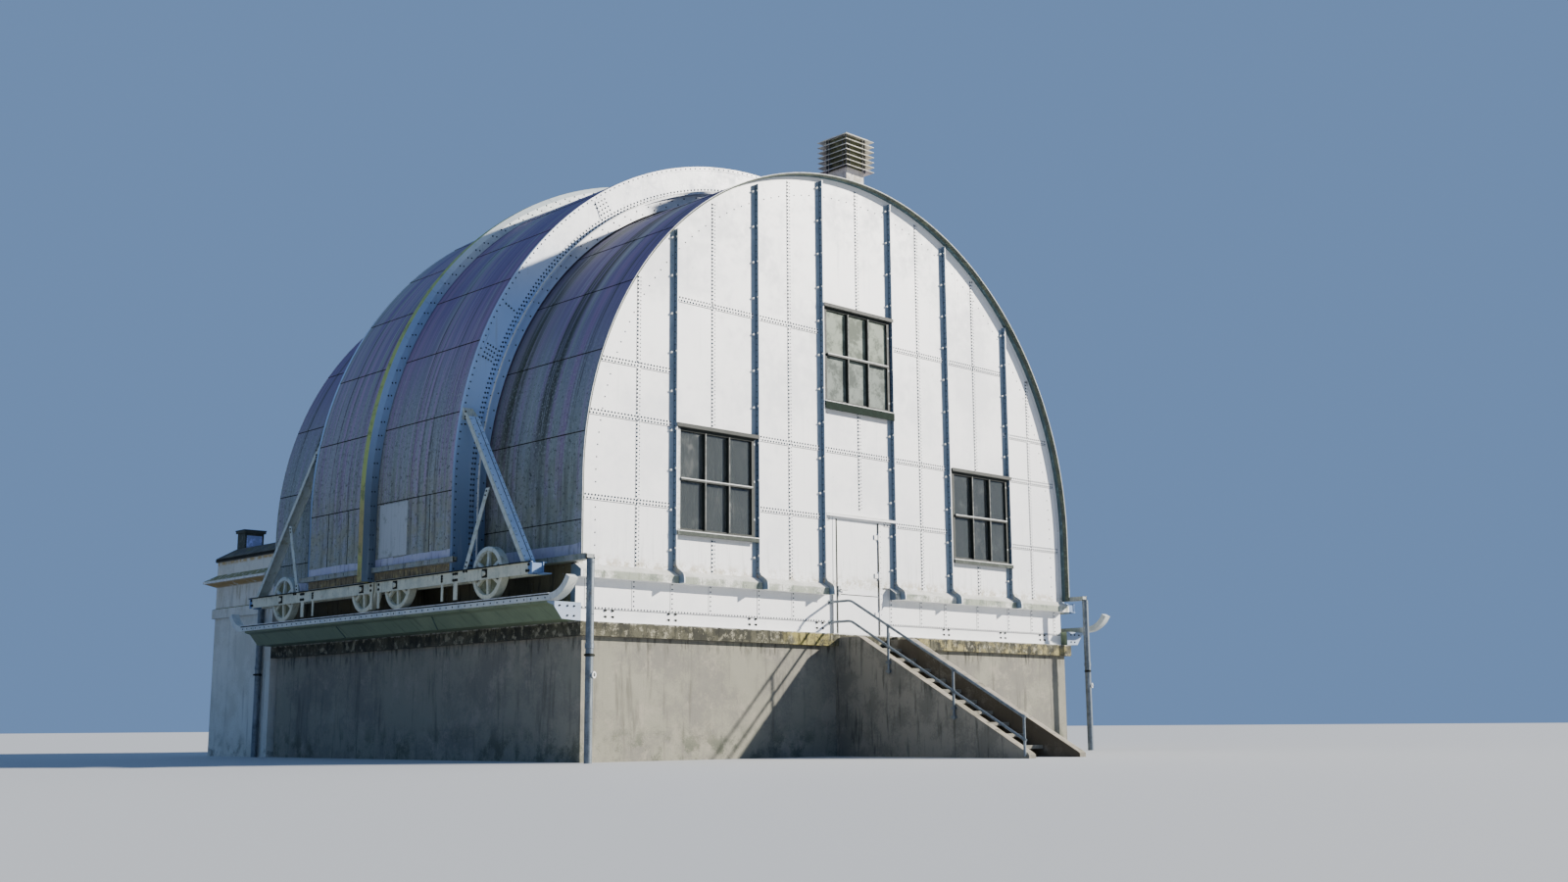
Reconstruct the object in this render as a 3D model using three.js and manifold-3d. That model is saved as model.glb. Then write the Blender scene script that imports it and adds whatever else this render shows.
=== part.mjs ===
// Meridian hall of an observatory: a riveted barrel vault on a raised plinth, whose middle part is two
// roof halves that roll apart along rails, with a front stair and a low masonry wing behind.
// Millimetres, +Z up, ground at Z 0. X runs along the front gable and Y from the front to the back.

import * as THREE from 'three';
import { mergeVertices } from 'three/addons/utils/BufferGeometryUtils.js';
import { ConvexGeometry } from 'three/addons/geometries/ConvexGeometry.js';
import Module from 'manifold-3d';

const wasm = await Module();
wasm.setup();

// Hall and its levels
const HALL_LENGTH = 9600;
const SLIT_Y = HALL_LENGTH / 2;
const SEAT = 0.3;               // gap left between faces that touch
const SPRING_Z = 4140;          // height of the vault's centre line
const CAP_TOP = 2030;
const CAP_BOTTOM = 1820;
const BASE_TOP = 2880;
const VAULT_FOOT = 2900;
const ARC_STEPS = 44;

// Fixed vault and gables
const VAULT_RADIUS = 6000;
const VAULT_SHEET = 80;
const VAULT_LENGTH = 3200;
const GUTTER_REACH = 150;
const GUTTER_HEIGHT = 75;
const GUTTER_WALL = 15;
const GUTTER_OVERHANG = 310;    // length that a gutter runs past the gable to its downpipe
const DOWNPIPE_RADIUS = 58;
const DOWNPIPE_OVERHANG = 320;
const COLLAR_Z = [1610, 1690];
const COLLAR_PROUD = 8;
const CLAMP_Z = [1505, 1535];
const CLAMP_PROUD = 12;
const CLAMP_HALF = 8;
const GABLE_FACE = 160;         // depth of the gable sheet behind the rim
const GABLE_DEPTH = 100;
const GABLE_MIDDLE = 100;       // ribs and windows are centred a little right of the rim's centre
const RIB_OFFSETS = [895, 2440, 4215];
const RIB_WIDTH = 20;
const RIB_PROUD = 85;
const GABLE_CUT_X = 7000;       // reach of the boxes that cut the gable up, past everything in it
const GABLE_CUT_Y = [-500, 500];
const GABLE_CUT_Z = 12000;
const LINTEL_REACH = 90;
const LINTEL_LIFT = [30, 60];   // underside and top of the lintel strip above the door's head

// Base course and plinth
const BASE_FACE = 200;
const BASE_DEPTH = 120;
const BASE_SIDE_X = 5950;
const LEDGE_REACH_X = 5995;
const LEDGE_FRONT = 10;
const LEDGE_BOTTOM = 2680;
const LEDGE_LIP = 110;
const LEDGE_INNER_LEFT = -720;
const LEDGE_INNER_RIGHT = 930;
const PLINTH_INSET = 100;
const PLINTH_WALL = 350;
const STAIR_NOTCH = [-600, 880];

// Door
const DOOR_LEFT = -460;
const DOOR_RIGHT = 590;
const DOOR_HEAD = 4010;
const DOOR_PLAY = 5;
const LEAF_FACE = 165;
const LEAF_DEPTH = 50;
const BARREL_RADIUS = 12.7;
const BARREL_Y = 147;
const HINGE_FEET = [2330, 3010, 3690];
const HINGE_LENGTH = 140;
const HINGE_LEAF = 95;
const HINGE_LEAF_INSET = 30;
const HANDLE_Z = 2790;
const HANDLE_INSET = 55;
const HANDLE_RADIUS = 10;
const HANDLE_REACH = 52;
const HANDLE_LENGTH = 120;
const HANDLE_PLATE_HALF = 25;
const HANDLE_PLATE_Z = [-110, 60];

// Windows: low pair beside the door and one above it, set out from the gable's middle
const LOW_WINDOW = { inner: 2510, outer: 4185, sill: 3490, head: 5180 };
const HIGH_WINDOW = { half: 850, sill: 6010, head: 7740 };
const FRAME_BAR = 70;
const FRAME_PROUD = 40;
const FRAME_DEPTH = 120;
const GLASS_DEPTH = 8;
const HOOD_REACH = 95;
const HOOD_SIDE = 15;           // run of hood and sill board past the opening
const HOOD_RISE = [-30, 35];    // below and above the opening's head
const SILL_RISE = [-35, 15];

// Rolling roof halves
const SHELL_RADIUS = 6620;
const SHELL_CENTRE_Z = 4270;
const SHELL_SHEET = 40;
const SKIRT_SHEET = 16;         // single sheet below SKIRT_TOP, where the wheels stand close behind it
const SKIRT_TOP = 3250;
const ARCH_INNER = 6215;
const ARCH_PLATE = 50;
const ARCH_FLANGE = 120;
const ARCH_FLANGE_SHEET = 30;
const ARCH_CLOSURE_INNER = 6060; // strip that closes the arch down to the vault
const ARCH_CLOSURE_FOOT = 3020;
const HALF_LENGTH = 2250;
const MEETING_PLAY = 5;
const SHELL_GUTTER_REACH = 70;
const SHELL_GUTTER_Z = 3030;
const SHELL_GUTTER_START = 2340;
const SLIT_RIB_RADIUS = 6830;
const SLIT_RIB_LENGTH = 200;
const SLIT_RIB_SHEET = 40;

// Carriages, wheels, rails
const BEAM_BOTTOM = 2700;
const BEAM_TOP = 2885;
const BEAM_SHEET = 15;
const OUTER_WEB = 6615;
const INNER_WEB = 6435;
const BEAM_FLANGE = 35;
const BEAM_START = 340;
const BRACE_WIDTH = 190;
const BRACE_DEPTH = 75;
const BRACE_SHEET = 12;
const BRACE_SLOPE = 0.7255;     // run back for each unit of rise
const BRACE_FOOT_Y = 407;
const BRACE_TOP_Z = 5330;
const BRACE_LEAN = 0.043;       // lean towards the hall for each unit of rise
const HEAD_PLATE = { sheet: 20, drop: 30, rise: 35 };
const STRUT_TOP = { start: 1600, stop: 1690, z: 4110 };
const STRUT_FOOT = { start: 2085, stop: 2180, z: BEAM_TOP - 10 };
const NOSE_REACH = 120;
const NOSE_BACK = 60;
const TIE_Y = 2300;
const TIE_SPAN = [15, 100];
const TIE_Z = [2720, 2865];
const POST_Z = [2440, 2730];
const POSTS = [{ y: 2310, width: 100 }, { y: 2710, width: 50 }];
const LAST_POST = { back: 80, width: 60 };
const FRONT_BEAM_STOP = 4700;
const FRONT_LAST_TIE = 4590;
const BACK_BEAM_STOP = 4770;
const BACK_LAST_TIE = 3850;
const WHEEL_RADIUS = 399.7;
const WHEEL_Z = 2800;
const WHEEL_HALF = 70;
const WHEEL_SIDES = 16;
const SPOKES = 3;               // plates right across the wheel, so twice as many arms
const SPOKE_SHEET = 22;
const SPOKE_WIDTH = 105;
const WHEEL_X = (OUTER_WEB + INNER_WEB) / 2;
const RIM_INNER = 335;
const HUB_RADIUS = 60;
const WEB_HALF = 10;
const FRONT_WHEELS = [1560, 4130];
const BACK_WHEELS = [5200, 8040];
const RAIL_TOP = 2400;
const RAIL_BOTTOM = 2300;
const RAIL_OUTER = 6600;
const RAIL_INNER = 6450;
const GIRDER_START = 60;
const FASCIA_BEND = [6300, 2045];
const FASCIA_TOP = [6455, 2240];
const FASCIA_LIP_Z = 2270;
const FASCIA_LIP_INSET = 40;
const RAIL_CURL = 455;
const RAIL_CURL_DEGREES = 62;
const RAIL_END = -40;

// Ventilator on the crown
const VENT_X = 355;
const VENT_Y = 580;
const VENT_NECK = 250;
const VENT_LIP = 370;
const VENT_BOTTOM = 10540;
const VENT_TIERS = 7;
const VENT_PITCH = 98;
const VENT_SLAT = 16;
const VENT_FALL = 45;
const VENT_CAP = 30;

// Stair
const STAIR_LEFT = -580;
const STAIR_RIGHT = 860;
const STAIR_WALL = 160;
const STAIR_TOP = 1980;         // level that the riser above the highest tread reaches
const STAIR_RISERS = 11;
const STAIR_TREAD = 326;
const CHEEK_BEND_Y = -450;
const FIRST_TREAD_FRONT = -260;
const STAIR_WALL_DROP = 20;
const CHEEK_TOE = 60;
const RAIL_RADIUS = 22;
const RAIL_HEIGHTS = [2570, 2230];
const RAIL_BEND_Y = -290;
const RAIL_LAST_Y = -3830;
const RAIL_POST_YS = [-1120, -2475, RAIL_LAST_Y];
const RAIL_POST_DROP = 260;     // a post's foot below the cheek wall's top
const RAIL_POST_LOWEST = 30;

// Wing behind the hall
const WING_HALF = 6000;
const WING_FRONT = HALL_LENGTH + SEAT;
const WING_BACK = 12050;
const WING_WALL = 350;
const WING_TOP = 3300;
const CORNICE_REACH = 200;
const CORNICE_TOP = 3420;
const ATTIC_TOP = 3800;
const ATTIC_FOOT = 3545;
const WING_ROOF_EDGE = 3880;
const WING_ROOF_TOP = 4070;
const WING_ROOF_INSET = 250;
const WING_ROOF_REACH = 30;
const COVE_RISE = 80;
const VENT_BOX_X = [-5750, -5350];
const VENT_BOX_Y = [11450, 11770];
const VENT_BOX_TOP = 4390;
const VENT_LID_Z = [4380, 4440];
const VENT_LID_REACH = 30;

const STAIR_RISE = STAIR_TOP / STAIR_RISERS;
const STAIR_SLOPE = STAIR_RISE / STAIR_TREAD;
const CHEEK_TOP = STAIR_TOP - STAIR_WALL_DROP;
const CHEEK_FOOT_Y = CHEEK_BEND_Y - (CHEEK_TOP - CHEEK_TOE) / STAIR_SLOPE;
const BACK_REACH = WING_BACK + CORNICE_REACH;

const paint = {
  sheet: { color: 0xb9bfc4, roughness: 0.5, metalness: 0.3 },
  zinc: { color: 0x7d8084, roughness: 0.6, metalness: 0.4 },
  concrete: { color: 0x8f8b80, roughness: 0.95, metalness: 0 },
  cream: { color: 0xb3b09c, roughness: 0.6, metalness: 0.2 },
  fascia: { color: 0x4a5a52, roughness: 0.6, metalness: 0.2 },
  plaster: { color: 0xb8b6a8, roughness: 0.95, metalness: 0 },
  roofing: { color: 0x3d3d3a, roughness: 0.9, metalness: 0 },
  frame: { color: 0x4c4f4c, roughness: 0.5, metalness: 0.2 },
  glass: { color: 0x2a3338, roughness: 0.1, metalness: 0 },
  louvre: { color: 0xc9c6b8, roughness: 0.7, metalness: 0 },
};

const hall = new THREE.Group();
hall.position.y = -(CHEEK_FOOT_Y + BACK_REACH) / 2;

function toSolid(geometry) {
  const plain = geometry.toNonIndexed ? geometry.clone() : geometry;
  plain.deleteAttribute('normal');
  plain.deleteAttribute('uv');
  const merged = mergeVertices(plain, 1e-3);
  return new wasm.Manifold(new wasm.Mesh({
    numProp: 3,
    vertProperties: new Float32Array(merged.attributes.position.array),
    triVerts: new Uint32Array(merged.index.array),
  }));
}

function add(name, solid, look) {
  const mesh = solid.getMesh();
  const geometry = new THREE.BufferGeometry();
  geometry.setAttribute('position', new THREE.BufferAttribute(mesh.vertProperties, 3));
  geometry.setIndex(new THREE.BufferAttribute(mesh.triVerts, 1));
  const piece = new THREE.Mesh(geometry, new THREE.MeshStandardMaterial(look));
  piece.name = name;
  hall.add(piece);
}

function box(x, y, z) {
  const size = [x, y, z].map(([low, high]) => Math.abs(high - low));
  const middle = [x, y, z].map(([low, high]) => (low + high) / 2);
  return toSolid(new THREE.BoxGeometry(...size).translate(...middle));
}

// Outline of [x, z] points run along Y
function alongY(points, from, to) {
  const shape = new THREE.Shape(points.map(([x, z]) => new THREE.Vector2(x, z)));
  const geometry = new THREE.ExtrudeGeometry(shape, { depth: to - from, bevelEnabled: false });
  return toSolid(geometry.rotateX(Math.PI / 2).translate(0, to, 0));
}

// Outline of [y, z] points run along X
function alongX(points, from, to) {
  const shape = new THREE.Shape(points.map(([y, z]) => new THREE.Vector2(y, z)));
  const geometry = new THREE.ExtrudeGeometry(shape, { depth: Math.abs(to - from), bevelEnabled: false });
  const turn = new THREE.Matrix4().makeBasis(
    new THREE.Vector3(0, 1, 0), new THREE.Vector3(0, 0, 1), new THREE.Vector3(1, 0, 0));
  return toSolid(geometry.applyMatrix4(turn).translate(Math.min(from, to), 0, 0));
}

function hull(points) {
  return toSolid(new ConvexGeometry(points.map((point) => new THREE.Vector3(...point))));
}

function rod(start, end, radius, sides = 8) {
  const from = new THREE.Vector3(...start);
  const along = new THREE.Vector3(...end).sub(from);
  const geometry = new THREE.CylinderGeometry(radius, radius, along.length(), sides);
  const turn = new THREE.Quaternion().setFromUnitVectors(
    new THREE.Vector3(0, 1, 0), along.clone().normalize());
  geometry.applyQuaternion(turn);
  const middle = from.addScaledVector(along, 0.5);
  return toSolid(geometry.translate(middle.x, middle.y, middle.z));
}

function join(solids) {
  return solids.reduce((whole, next) => whole.add(next));
}

// Half circle on upright legs, from the right foot over the crown to the left foot
function archLine(radius, foot, centreZ = SPRING_Z) {
  const line = [[radius, foot]];
  for (let step = 0; step <= ARC_STEPS; step += 1) {
    const angle = Math.PI * step / ARC_STEPS;
    line.push([radius * Math.cos(angle), centreZ + radius * Math.sin(angle)]);
  }
  line.push([-radius, foot]);
  return line;
}

// The roof halves' outside is struck from a higher centre than the vault
function shellLine(radius) {
  return archLine(radius, BEAM_TOP + SEAT, SHELL_CENTRE_Z);
}

function archBand(outerLine, innerLine, from, to) {
  return alongY([...outerLine, ...innerLine.reverse()], from, to);
}

function archFill(radius, foot, from, to) {
  return alongY(archLine(radius, foot), from, to);
}

// Depth from the front gable, or from the back gable for the far end
function depth(end, y) {
  return end === 'front' ? y : HALL_LENGTH - y;
}

function span(end, from, to) {
  return [depth(end, from), depth(end, to)].sort((a, b) => a - b);
}

function gutter(side, inner, reach, bottom, from, to) {
  const outer = inner + reach;
  const outline = [
    [inner - GUTTER_WALL, bottom], [outer, bottom], [outer, bottom + GUTTER_HEIGHT],
    [outer - GUTTER_WALL, bottom + GUTTER_HEIGHT], [outer - GUTTER_WALL, bottom + GUTTER_WALL],
    [inner - GUTTER_WALL, bottom + GUTTER_WALL],
  ];
  return alongY(outline.map(([x, z]) => [side * x, z]), from, to);
}

// Open length of gutter with an inner wall of its own, closed where it ends
function freeGutter(side, inner, reach, bottom, end, start, stop) {
  const near = inner + SEAT;
  const far = inner + reach;
  const high = bottom + GUTTER_HEIGHT;
  const outline = [
    [near, bottom], [far, bottom], [far, high], [far - GUTTER_WALL, high],
    [far - GUTTER_WALL, bottom + GUTTER_WALL], [near + GUTTER_WALL, bottom + GUTTER_WALL],
    [near + GUTTER_WALL, high], [near, high],
  ];
  const run = alongY(outline.map(([x, z]) => [side * x, z]), ...span(end, start, stop));
  const cap = box([side * near, side * far], span(end, start, start + GUTTER_WALL), [bottom, high]);
  return run.add(cap);
}

function addPlinth() {
  const side = VAULT_RADIUS - PLINTH_INSET;
  const end = HALL_LENGTH - PLINTH_INSET;
  const outer = box([-side, side], [PLINTH_INSET, end], [0, CAP_BOTTOM - SEAT]);
  const inner = box([-side + PLINTH_WALL, side - PLINTH_WALL],
    [PLINTH_INSET + PLINTH_WALL, end - PLINTH_WALL], [-1, CAP_BOTTOM + 1]);
  add('plinth_walls', outer.subtract(inner), paint.concrete);

  const slab = box([-VAULT_RADIUS, VAULT_RADIUS], [0, HALL_LENGTH], [CAP_BOTTOM, CAP_TOP]);
  const notch = box(STAIR_NOTCH, [-1, PLINTH_INSET], [CAP_BOTTOM - 1, CAP_TOP + 1]);
  add('floor_slab', slab.subtract(notch), paint.concrete);
}

function addStair() {
  const back = PLINTH_INSET - SEAT;
  const steps = [[back, 0], [back, STAIR_TOP - STAIR_RISE]];
  for (let tread = 0; tread < STAIR_RISERS - 1; tread += 1) {
    const y = FIRST_TREAD_FRONT - tread * STAIR_TREAD;
    steps.push([y, STAIR_TOP - (tread + 1) * STAIR_RISE]);
    steps.push([y, STAIR_TOP - (tread + 2) * STAIR_RISE]);
  }
  const left = STAIR_LEFT + STAIR_WALL + SEAT;
  const right = STAIR_RIGHT - STAIR_WALL - SEAT;
  add('stair_flight', alongX(steps, left, right), paint.concrete);

  const cheek = [
    [back, 0], [back, CHEEK_TOP], [CHEEK_BEND_Y, CHEEK_TOP], [CHEEK_FOOT_Y, CHEEK_TOE], [CHEEK_FOOT_Y, 0],
  ];
  add('stair_wall_left', alongX(cheek, STAIR_LEFT, STAIR_LEFT + STAIR_WALL), paint.concrete);
  add('stair_wall_right', alongX(cheek, STAIR_RIGHT - STAIR_WALL, STAIR_RIGHT), paint.concrete);
}

function addHandrail() {
  const x = STAIR_LEFT - RAIL_RADIUS - SEAT;
  const bend = RAIL_BEND_Y;
  const last = RAIL_LAST_Y - RAIL_RADIUS;
  const rods = [];
  for (const height of RAIL_HEIGHTS) {
    const drop = (y) => height - STAIR_SLOPE * (bend - y);
    rods.push(rod([x, BASE_FACE - SEAT, height], [x, bend - RAIL_RADIUS / 2, height], RAIL_RADIUS));
    rods.push(rod([x, bend, height], [x, last, drop(last)], RAIL_RADIUS));
  }
  for (const y of RAIL_POST_YS) {
    const top = RAIL_HEIGHTS[0] - STAIR_SLOPE * (bend - y);
    const cheekTop = CHEEK_TOP - STAIR_SLOPE * (CHEEK_BEND_Y - y);
    const bottom = Math.max(RAIL_POST_LOWEST, cheekTop - RAIL_POST_DROP);
    rods.push(rod([x, y, bottom], [x, y, top], RAIL_RADIUS));
  }
  add('handrail', join(rods), paint.zinc);
}

function ledgeOutline(end) {
  const outline = [
    [BASE_FACE + 1, LEDGE_BOTTOM], [LEDGE_FRONT, LEDGE_BOTTOM], [LEDGE_FRONT, LEDGE_BOTTOM + LEDGE_LIP],
    [GABLE_FACE, BASE_TOP], [BASE_FACE + 1, BASE_TOP],
  ];
  return outline.map(([y, z]) => [depth(end, y), z]);
}

function addBaseCourse() {
  const frontY = [BASE_FACE, BASE_FACE + BASE_DEPTH];
  const height = [CAP_TOP + SEAT, BASE_TOP];
  const left = box([-BASE_SIDE_X, DOOR_LEFT], frontY, height);
  const right = box([DOOR_RIGHT, BASE_SIDE_X], frontY, height);
  const leftLedge = alongX(ledgeOutline('front'), -LEDGE_REACH_X, LEDGE_INNER_LEFT);
  const rightLedge = alongX(ledgeOutline('front'), LEDGE_INNER_RIGHT, LEDGE_REACH_X);
  add('base_course_front_left', left.add(leftLedge), paint.sheet);
  add('base_course_front_right', right.add(rightLedge), paint.sheet);

  const back = box([-BASE_SIDE_X, BASE_SIDE_X], span('back', ...frontY), height);
  const backLedge = alongX(ledgeOutline('back'), -LEDGE_REACH_X, LEDGE_REACH_X);
  add('base_course_back', back.add(backLedge), paint.sheet);

  const run = [BASE_FACE + BASE_DEPTH + SEAT, HALL_LENGTH - BASE_FACE - BASE_DEPTH - SEAT];
  const sideTop = [CAP_TOP + SEAT, VAULT_FOOT - SEAT];
  for (const [name, side] of [['left', -1], ['right', 1]]) {
    const wall = [side * (BASE_SIDE_X - BASE_DEPTH), side * BASE_SIDE_X];
    add(`base_course_${name}`, box(wall, run, sideTop), paint.sheet);
  }
}

// Opening given by its left and right edges' distances from the gable's middle
function windowHole(left, right, { sill, head }, end) {
  return box([GABLE_MIDDLE + left, GABLE_MIDDLE + right], span(end, ...GABLE_CUT_Y), [sill, head]);
}

function gableSheet(end) {
  const radius = VAULT_RADIUS - VAULT_SHEET - SEAT - 0.2;
  const foot = BASE_TOP + SEAT;
  const sheet = archFill(radius, foot, ...span(end, GABLE_FACE, GABLE_FACE + GABLE_DEPTH));
  const field = archFill(radius, foot, ...span(end, GABLE_FACE - RIB_PROUD, GABLE_FACE + GABLE_DEPTH));
  const ribs = [];
  for (const offset of RIB_OFFSETS) {
    for (const side of [-1, 1]) {
      const middle = GABLE_MIDDLE + side * offset;
      ribs.push(box([middle - RIB_WIDTH / 2, middle + RIB_WIDTH / 2],
        span(end, GABLE_FACE - RIB_PROUD, GABLE_FACE + 1), [foot, SPRING_Z + VAULT_RADIUS]));
    }
  }
  return sheet.add(join(ribs).intersect(field));
}

function addGables() {
  const high = HIGH_WINDOW;
  const low = LOW_WINDOW;
  const highHole = (end) => windowHole(-high.half, high.half, high, end);
  const doorway = box([DOOR_LEFT, DOOR_RIGHT], GABLE_CUT_Y, [CAP_TOP, DOOR_HEAD]);
  const front = gableSheet('front')
    .subtract(doorway)
    .subtract(highHole('front'))
    .subtract(windowHole(-low.outer, -low.inner, low, 'front'))
    .subtract(windowHole(low.inner, low.outer, low, 'front'));

  // The middle bay stands over the doorway, and the side pieces carry the jambs and the ribs
  const parting = RIB_OFFSETS[0] - RIB_WIDTH / 2;
  const [left, right] = [GABLE_MIDDLE - parting, GABLE_MIDDLE + parting];
  const between = [left + SEAT, right - SEAT];
  const upright = [0, GABLE_CUT_Z];
  const middle = box(between, GABLE_CUT_Y, [DOOR_HEAD + SEAT, GABLE_CUT_Z]);
  const leftSide = box([-GABLE_CUT_X, left], GABLE_CUT_Y, upright)
    .add(box([-GABLE_CUT_X, DOOR_LEFT], GABLE_CUT_Y, [0, DOOR_HEAD]));
  const rightSide = box([right, GABLE_CUT_X], GABLE_CUT_Y, upright)
    .add(box([DOOR_RIGHT, GABLE_CUT_X], GABLE_CUT_Y, [0, DOOR_HEAD]));
  const lintel = box(between, [GABLE_FACE - LINTEL_REACH, GABLE_FACE + 1],
    LINTEL_LIFT.map((lift) => DOOR_HEAD + lift));
  add('gable_front_left', front.intersect(leftSide), paint.sheet);
  add('gable_front_right', front.intersect(rightSide), paint.sheet);
  add('gable_front_middle', front.intersect(middle).add(lintel), paint.sheet);
  add('gable_back', gableSheet('back').subtract(highHole('back')), paint.sheet);
}

function addWindow(name, fromMiddle, toMiddle, { sill, head }, end) {
  const left = GABLE_MIDDLE + fromMiddle;
  const right = GABLE_MIDDLE + toMiddle;
  const front = GABLE_FACE - FRAME_PROUD;
  const depthSpan = span(end, front, front + FRAME_DEPTH);
  const outer = box([left + SEAT, right - SEAT], depthSpan, [sill + SEAT, head - SEAT]);
  const hole = box([left + FRAME_BAR, right - FRAME_BAR], span(end, ...GABLE_CUT_Y),
    [sill + FRAME_BAR, head - FRAME_BAR]);
  const trimX = [left - HOOD_SIDE, right + HOOD_SIDE];
  const trimY = span(end, GABLE_FACE - HOOD_REACH, GABLE_FACE - SEAT);
  const hood = box(trimX, trimY, HOOD_RISE.map((rise) => head + rise));
  const sillBoard = box(trimX, trimY, SILL_RISE.map((rise) => sill + rise));
  add(`${name}_frame`, outer.subtract(hole).add(hood).add(sillBoard), paint.frame);
  const glassY = span(end, GABLE_FACE, GABLE_FACE + GLASS_DEPTH);
  const pane = FRAME_BAR + SEAT;
  add(`${name}_glass`, box([left + pane, right - pane], glassY, [sill + pane, head - pane]), paint.glass);
}

function addWindows() {
  const low = LOW_WINDOW;
  const high = HIGH_WINDOW;
  addWindow('window_left', -low.outer, -low.inner, low, 'front');
  addWindow('window_right', low.inner, low.outer, low, 'front');
  addWindow('window_upper', -high.half, high.half, high, 'front');
  addWindow('window_back', -high.half, high.half, high, 'back');
}

function addDoor() {
  const left = DOOR_LEFT + DOOR_PLAY;
  const right = DOOR_RIGHT - DOOR_PLAY;
  const bottom = CAP_TOP + DOOR_PLAY + 1;
  const top = DOOR_HEAD - DOOR_PLAY - 1;
  const pieces = [box([left, right], [LEAF_FACE, LEAF_FACE + LEAF_DEPTH], [bottom, top])];
  for (const z of HINGE_FEET) {
    pieces.push(rod([DOOR_RIGHT, BARREL_Y, z], [DOOR_RIGHT, BARREL_Y, z + HINGE_LENGTH], BARREL_RADIUS));
    pieces.push(box([right - HINGE_LEAF, right - 1], [BARREL_Y, LEAF_FACE + 1],
      [z + HINGE_LEAF_INSET, z + HINGE_LENGTH - HINGE_LEAF_INSET]));
  }
  add('door_leaf', join(pieces), paint.sheet);

  const x = left + HANDLE_INSET;
  const z = HANDLE_Z;
  const leverY = LEAF_FACE - HANDLE_REACH;
  const plate = box([x - HANDLE_PLATE_HALF, x + HANDLE_PLATE_HALF], [LEAF_FACE - 10, LEAF_FACE - SEAT],
    HANDLE_PLATE_Z.map((offset) => z + offset));
  const neck = rod([x, LEAF_FACE - 5, z], [x, leverY - 3, z], HANDLE_RADIUS);
  const lever = rod([x - HANDLE_RADIUS, leverY, z], [x + HANDLE_LENGTH, leverY, z], HANDLE_RADIUS);
  add('door_handle', join([plate, neck, lever]), paint.frame);
}

function addFixedVault(end) {
  const run = span(end, 0, VAULT_LENGTH);
  const outer = archLine(VAULT_RADIUS, VAULT_FOOT);
  const pieces = [archBand(outer, archLine(VAULT_RADIUS - VAULT_SHEET, VAULT_FOOT), ...run)];
  for (const side of [-1, 1]) {
    pieces.push(gutter(side, VAULT_RADIUS, GUTTER_REACH, VAULT_FOOT, ...run));
    pieces.push(freeGutter(side, VAULT_RADIUS, GUTTER_REACH, VAULT_FOOT, end, -GUTTER_OVERHANG, 1));
  }
  add(`vault_${end}`, join(pieces), paint.zinc);
}

// Pipe under the gutter's end, with the joint to its lower length and a clamp with two ears
function addDownpipe(name, side, end) {
  const x = side * (VAULT_RADIUS + GUTTER_REACH / 2);
  const y = depth(end, -DOWNPIPE_OVERHANG);
  const sides = 12;
  const pipe = rod([x, y, 0], [x, y, VAULT_FOOT - SEAT], DOWNPIPE_RADIUS, sides);
  const collar = rod([x, y, COLLAR_Z[0]], [x, y, COLLAR_Z[1]], DOWNPIPE_RADIUS + COLLAR_PROUD, sides);
  const earReach = DOWNPIPE_RADIUS + CLAMP_PROUD;
  const ears = box([x - earReach, x + earReach], [y - CLAMP_HALF, y + CLAMP_HALF], CLAMP_Z);
  add(name, join([pipe, collar, ears]), paint.zinc);
}

function addGirder(name, side) {
  const outline = [
    [BASE_SIDE_X + SEAT, CAP_TOP + SEAT], [VAULT_RADIUS + 20, CAP_TOP + SEAT], FASCIA_BEND, FASCIA_TOP,
    [RAIL_OUTER - FASCIA_LIP_INSET, FASCIA_LIP_Z], [RAIL_OUTER - FASCIA_LIP_INSET, RAIL_BOTTOM - SEAT],
    [BASE_SIDE_X + SEAT, RAIL_BOTTOM - SEAT],
  ];
  const girder = alongY(outline.map(([x, z]) => [side * x, z]), GIRDER_START, HALL_LENGTH - GIRDER_START);
  add(`girder_${name}`, girder, paint.fascia);
}

function addRail(name, side) {
  const rail = box([side * RAIL_INNER, side * RAIL_OUTER], [RAIL_END, HALL_LENGTH - RAIL_END],
    [RAIL_BOTTOM, RAIL_TOP]);
  add(`rail_${name}`, rail, paint.sheet);
}

// Stop at the rail's end, which curls up behind the last wheel
function addRailStop(name, side, end) {
  const centreZ = RAIL_TOP + RAIL_CURL;
  const steps = 7;
  const curl = (height) => {
    const radius = RAIL_CURL + (RAIL_TOP - height);
    const line = [];
    for (let step = 0; step <= steps; step += 1) {
      const angle = THREE.MathUtils.degToRad(RAIL_CURL_DEGREES) * step / steps;
      const y = RAIL_END - SEAT - radius * Math.sin(angle);
      line.push([depth(end, y), centreZ - radius * Math.cos(angle)]);
    }
    return line;
  };
  const outline = [...curl(RAIL_TOP), ...curl(RAIL_BOTTOM).reverse()];
  add(`rail_stop_${end}_${name}`, alongX(outline, side * RAIL_OUTER, side * RAIL_INNER), paint.sheet);
}

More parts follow.
